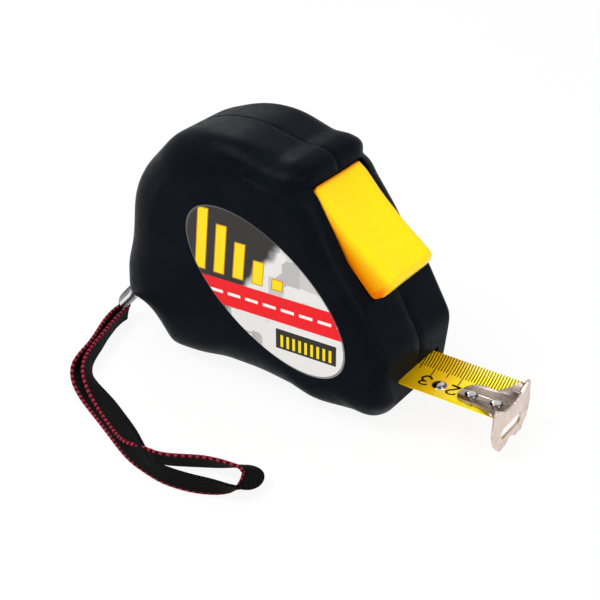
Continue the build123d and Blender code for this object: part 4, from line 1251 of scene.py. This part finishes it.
class TAPE_OT_blade(bpy.types.Operator):
    """Builds the curved blade with its printed scale"""
    bl_idname = "tape.blade"
    bl_label = "Blade"

    def execute(self, context):
        values = context.scene.tape_blade
        paint = self.material(values)
        piece = self.strip(paint)
        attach(piece, "tape")
        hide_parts("blade")
        ink, tree, shader, place = start_material("print_ink", rgb(0.008, 0.005, 0.003), 0.6,
                                                      Specular_IOR_Level=0.1)
        group = put(tree, "ShaderNodeGroup", {"Place": place}, node_tree=grain_group())
        shade = mix(tree, group.outputs["Mottle"], rgb(0.004, 0.002, 0.001), rgb(0.016, 0.009, 0.004))
        tree.links.new(shade, shader.inputs["Base Color"])
        digits = self.digits(values, ink)
        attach(digits, "tape")
        dress("blade_coil", paint)
        return {"FINISHED"}

    def strip(self, paint):
        """A strip 0.2 mm thick whose section is an arc about the blade's axis, carried along X."""
        half = math.asin(blade_high.y / BLADE_UNDER)
        arc = np.linspace(-half, half, 41)
        under = np.column_stack([BLADE_UNDER * np.sin(arc), BLADE_AXIS - BLADE_UNDER * np.cos(arc)])
        over = np.column_stack([BLADE_OVER * np.sin(arc), BLADE_AXIS - BLADE_OVER * np.cos(arc)])[::-1]
        section = np.concatenate([under, over])
        stations = np.linspace(blade_low.x, blade_high.x, 47)
        rings = np.zeros((len(stations), len(section), 3))
        rings[..., 0] = stations[:, None]
        rings[..., 1:] = section[None]
        return tube_piece("printed_blade", rings, paint, sharp=50)

    def digits(self, values, ink):
        """Digits on the centimetre lines: flat strokes that follow the blade's hollow, with tops to -Y."""
        scale = values.digit / 6.0
        half_width = 0.47
        points, faces = [], []
        count = 0
        for number, strokes in DIGITS.items():
            centre = HOOK_FACE - number * 10 * MM
            for curved, places in strokes:
                line = stroke_line(places, curved)
                run = np.gradient(line, axis=0)
                run /= np.maximum(np.linalg.norm(run, axis=1), 1e-9)[:, None]
                side = np.column_stack([-run[:, 1], run[:, 0]]) * half_width
                flat = np.stack([line + side, line, line - side], axis=1)
                x = centre - (flat[..., 0] - 2.0) * scale
                y = -(flat[..., 1] - 3.0) * scale
                z = blade_top(y) + 0.012 * MM
                points.append(np.stack([x, y, z], axis=-1).reshape(-1, 3))
                faces.append(grid_faces(len(line), 3) + count)
                count += len(line) * 3
        mesh = bpy.data.meshes.new("blade_digits")
        mesh.from_pydata(np.concatenate(points).tolist(), [], np.concatenate(faces).tolist())
        mesh.materials.append(ink)
        mesh.update()
        if sum(p.normal.z for p in mesh.polygons) < 0:
            mesh.flip_normals()
        piece = bpy.data.objects.new("blade_digits", mesh)
        bpy.context.scene.collection.objects.link(piece)
        solid = piece.modifiers.new("thickness", "SOLIDIFY")
        solid.thickness = 0.02 * MM
        solid.offset = 1.0
        return piece

    def material(self, values):
        """Yellow lacquer with a line at each millimetre from the far edge, longer at each fifth and tenth,
        and painted shade that turns it orange near the case's mouth.
        """
        made, tree, shader, place = start_material("blade_paint", tuple(values.paint), 0.3,
                                                   Specular_IOR_Level=0.3)
        parts = put(tree, "ShaderNodeSeparateXYZ", {0: place}).outputs
        scale = calc(tree, "MULTIPLY", calc(tree, "SUBTRACT", HOOK_FACE, parts["X"]), 1000.0)
        inset = calc(tree, "MULTIPLY", calc(tree, "SUBTRACT", blade_high.y, parts["Y"]), 1000.0)

        def near_multiple(step):
            shifted = calc(tree, "DIVIDE", calc(tree, "ADD", scale, step / 2), step)
            rest = calc(tree, "MULTIPLY", calc(tree, "SUBTRACT", calc(tree, "FRACT", shifted), 0.5), step)
            return calc(tree, "ABSOLUTE", rest)

        half_line = values.line / MM / 2
        line = calc(tree, "LESS_THAN", near_multiple(1.0), half_line)
        fifth = calc(tree, "LESS_THAN", near_multiple(5.0), 0.5)
        tenth = calc(tree, "LESS_THAN", near_multiple(10.0), 0.5)
        length = calc(tree, "MULTIPLY_ADD", fifth, 1.6, 5.4)
        length = calc(tree, "MULTIPLY_ADD", tenth, 2.3, length)
        reach = calc(tree, "LESS_THAN", inset, length)
        group = put(tree, "ShaderNodeGroup", {"Place": place, "Spread": 40.0}, node_tree=grain_group())
        toned_paint = mix(tree, group.outputs["Tone"], tuple(values.paint), rgb(1.0, 0.84, 0.02))
        # painted shade: the yellow turns orange near the case's mouth, fully below X = 58 mm and fading out
        # by 71 mm
        mouth_shade = invert(tree, between(tree, parts["X"], 0.058, 0.071))
        paint = mix(tree, calc(tree, "MULTIPLY", mouth_shade, 0.75), toned_paint, rgb(1.0, 0.52, 0.0))
        printed = mix(tree, calc(tree, "MULTIPLY", line, reach), paint, rgb(0.006, 0.004, 0.002))
        tree.links.new(printed, shader.inputs["Base Color"])
        add_bump(tree, shader, group.outputs["Height"], 0.000006)
        return made


# ---------------------------------------------------------------- hook, rivets and inner pieces
class TAPE_OT_hook(bpy.types.Operator):
    """Builds the end hook and the rivets"""
    bl_idname = "tape.hook"
    bl_label = "Hook"

    def execute(self, context):
        values = context.scene.tape_hook
        bright = self.rivet_material()
        plate = self.plate(self.nickel_material(values))
        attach(plate, "hook")
        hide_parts("end_hook")
        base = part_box("hook_rivets")[1].z - 0.9 * MM
        low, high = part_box("stop_rivet")
        heads = [(f"hook_rivet_{number + 1}", place, base, "hook_rivets")
                 for number, place in enumerate(head_places("hook_rivets", 2))]
        heads.append(("blade_stop_rivet", ((low.x + high.x) / 2, (low.y + high.y) / 2), high.z - 0.2 * MM,
                      "stop_rivet"))
        for name, place, level, node in heads:
            rivet = self.rivet(name, place, level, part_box(node)[0].z - level, bright)
            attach(rivet, "tape")
            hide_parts(node)
        return {"FINISHED"}

    def plate(self, finish):
        """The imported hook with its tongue's flare cut hollow: half width = 5.4 + 6.6 * t ** 1.6 in mm."""
        t = np.linspace(0, 1, 25)
        edge = np.column_stack([HOOK_FACE - 8.8 * MM + 7.85 * MM * t, (5.4 + 6.6 * t ** 1.6) * MM])
        outside = np.concatenate([edge, [(edge[-1, 0], 14 * MM), (edge[0, 0] - 1.8 * MM, 14 * MM),
                                         (edge[0, 0] - 1.8 * MM, 5.5 * MM)]])
        cutters = []
        for side in (1, -1):
            points, faces = prism(outside, 9 * MM, 24 * MM)
            cutters.append((points[:, [0, 2, 1]] * [1, side, 1], faces))
        piece = finish_piece("hook_plate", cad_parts["end_hook"].data.copy(), finish)
        cut_piece(piece, cutters)
        return piece

    def rivet(self, name, place, base, foot, finish):
        """A domed head on a thin flange, a stem and a flat lower head: a (radius, height) outline turned."""
        low = foot / MM
        outline = np.array([(0, low), (1.9, low), (2.0, low + 0.1), (2.0, low + 0.3), (1.3, low + 0.33),
                            (1.3, -0.5), (2.5, -0.5), (2.55, -0.2), (2.4, 0.02), (2.05, 0.07),
                            (1.95, 0.22), (1.8, 0.44),
                            (1.45, 0.68), (1.0, 0.82), (0.5, 0.88), (0, 0.9)])
        x, y = place
        steps = np.linspace(0, len(outline) - 1, 49)
        dense = np.column_stack([np.interp(steps, np.arange(len(outline)), outline[:, k]) for k in (0, 1)])
        turn = np.linspace(0, 2 * math.pi, 49)[:-1]
        radius = dense[:, None, 0] * MM
        points = np.stack([x + radius * np.cos(turn), y + radius * np.sin(turn),
                           np.broadcast_to(base + dense[:, None, 1] * MM, (49, 48))], axis=-1)
        rim = np.broadcast_to((dense[:, 0] / 2.55)[:, None], (49, 48))
        return make_piece(name, points, grid_faces(49, 48, wrap_columns=True), finish, {"rim": rim}, sharp=50)

    def rivet_material(self):
        """Polished steel with a painted dark reflection in a ring between the dome and its flange."""
        made, tree, shader, place = start_material("bright_rivet", rgb(0.85, 0.82, 0.80), 0.16, metallic=1.0)
        rim = attribute(tree, "rim")
        # painted dark reflection: a near-black ring round the foot of the dome
        dark_reflection_ring = calc(tree, "MULTIPLY", between(tree, rim, 0.5, 0.68),
                      invert(tree, between(tree, rim, 0.86, 0.95)))
        group = put(tree, "ShaderNodeGroup", {"Place": place}, node_tree=grain_group())
        bright = mix(tree, group.outputs["Mottle"], rgb(0.78, 0.74, 0.72), rgb(0.92, 0.89, 0.87))
        shade = mix(tree, calc(tree, "MULTIPLY", dark_reflection_ring, 0.9), bright, rgb(0.05, 0.045, 0.045))
        tree.links.new(shade, shader.inputs["Base Color"])
        return made

    def nickel_material(self, values):
        """Satin plating with painted light: a painted dark reflection makes the tongue darker and warmer
        towards the bend, its fine marks lighten it, and painted light makes the leg pale.
        """
        made, tree, shader, place = start_material("nickel_plate", tuple(values.nickel), values.roughness,
                                                   metallic=1.0)
        parts = put(tree, "ShaderNodeSeparateXYZ", {0: place}).outputs
        # masks for painted light: the leg is painted pale, and the tongue gets a painted dark reflection that
        # deepens towards the bend
        leg = between(tree, parts["X"], HOOK_FACE - 0.5 * MM, HOOK_FACE)
        deep = between(tree, parts["X"], HOOK_FACE - 12 * MM, HOOK_FACE - 2 * MM)
        group = put(tree, "ShaderNodeGroup", {"Place": place}, node_tree=grain_group())
        marks = put(tree, "ShaderNodeGroup", {"Place": place}, node_tree=scratch_group())
        # painted light on the leg and painted dark reflection on the tongue; the mottle and fine marks are
        # the plating's own
        pale = mix(tree, group.outputs["Mottle"], rgb(0.70, 0.56, 0.50), rgb(0.82, 0.69, 0.62))
        tongue = mix(tree, deep, tuple(values.nickel), rgb(0.30, 0.235, 0.215))
        tongue = mix(tree, calc(tree, "MULTIPLY", marks.outputs["Mask"], 0.35), tongue, rgb(0.75, 0.68, 0.65))
        tree.links.new(mix(tree, leg, tongue, pale), shader.inputs["Base Color"])
        rough = calc(tree, "MULTIPLY_ADD", group.outputs["Mottle"], 0.1, values.roughness)
        tree.links.new(rough, shader.inputs["Roughness"])
        add_bump(tree, shader, group.outputs["Mottle"], 0.00001)
        return made


class TAPE_OT_inside(bpy.types.Operator):
    """Dresses the reel, the spring and the brake shoe, and builds the case screws"""
    bl_idname = "tape.inside"
    bl_label = "Inner pieces"

    def execute(self, context):
        acetal = moulded_material("natural_acetal", rgb(0.62, 0.61, 0.57), rgb(0.74, 0.73, 0.70), 0.4,
                                  0.00002)
        blue = metal_material("blued_spring", rgb(0.16, 0.18, 0.24), rgb(0.32, 0.34, 0.4), 0.3,
                              (3000, 3000, 200))
        zinc = metal_material("zinc_screw", rgb(0.42, 0.42, 0.43), rgb(0.6, 0.6, 0.6), 0.35)
        for node in ("drum", "drum_cover", "arbor", "brake_shoe"):
            dress(node, acetal)
        dress("power_spring", blue)
        for number, (x, z, level) in enumerate(screw_levels()):
            screw = self.screw(f"case_screw_{number + 1}", x, z, level, zinc)
            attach(screw, "case")
            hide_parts("case_screws")
        return {"FINISHED"}

    def screw(self, name, x, z, level, finish):
        """A round head with a pressed cross, as a height over a disc, on a short straight shank.

        The cross is deep where the smaller of the two coordinates is below about 0.35 mm, inside a radius of
        about 1.5 mm, and the rim falls off in a quarter circle.
        """
        radius = np.concatenate([np.linspace(0, 2.0, 26), np.linspace(2.05, 2.6, 8)])[:, None]
        turn = np.linspace(0, 2 * math.pi, 97)[None, :-1]
        u, v = radius * np.cos(turn), radius * np.sin(turn)
        arm = 1 - smoothstep(np.minimum(np.abs(u), np.abs(v)), 0.22, 0.48)
        cross = arm * (1 - smoothstep(radius, 1.3, 1.8))
        rim = 0.55 * (1 - np.sqrt(1 - (np.maximum(radius - 2.05, 0) / 0.56) ** 2))
        height = -0.8 * cross - rim
        below = np.stack([2.6 * np.cos(turn[0]), 2.6 * np.sin(turn[0]), np.full(96, -1.6)], axis=-1)
        points = np.concatenate([np.stack([u, v, height], axis=-1), [below, below * [0, 0, 1]]])
        u, v, height = np.moveaxis(points * MM, -1, 0)
        place = np.stack([x + u, level + height, z + v], axis=-1)
        return make_piece(name, place, grid_faces(len(points), 96, wrap_columns=True), finish, sharp=50)


class TAPE_PT_panel(bpy.types.Panel):
    """Lists the steps that build the looks"""
    bl_label = "Tape Measure"
    bl_idname = "TAPE_PT_panel"
    bl_space_type = "VIEW_3D"
    bl_region_type = "UI"
    bl_category = "Tape Measure"

    def draw(self, context):
        for step in STEPS:
            self.layout.operator(step.bl_idname)


STEPS = (TAPE_OT_stage, TAPE_OT_strap, TAPE_OT_case, TAPE_OT_label, TAPE_OT_button, TAPE_OT_blade,
         TAPE_OT_hook, TAPE_OT_inside)


def register():
    for group in SETTINGS.values():
        bpy.utils.register_class(group)
    for step in (*STEPS, TAPE_PT_panel):
        bpy.utils.register_class(step)
    for name, group in SETTINGS.items():
        setattr(bpy.types.Scene, name, PointerProperty(type=group))


def unregister():
    for name in SETTINGS:
        delattr(bpy.types.Scene, name)
    for step in (*STEPS, TAPE_PT_panel):
        bpy.utils.unregister_class(step)
    for group in SETTINGS.values():
        bpy.utils.unregister_class(group)


def main():
    register()
    for step in STEPS:
        area, name = step.bl_idname.split(".")
        getattr(getattr(bpy.ops, area), name)()


if __name__ == "__main__":
    main()
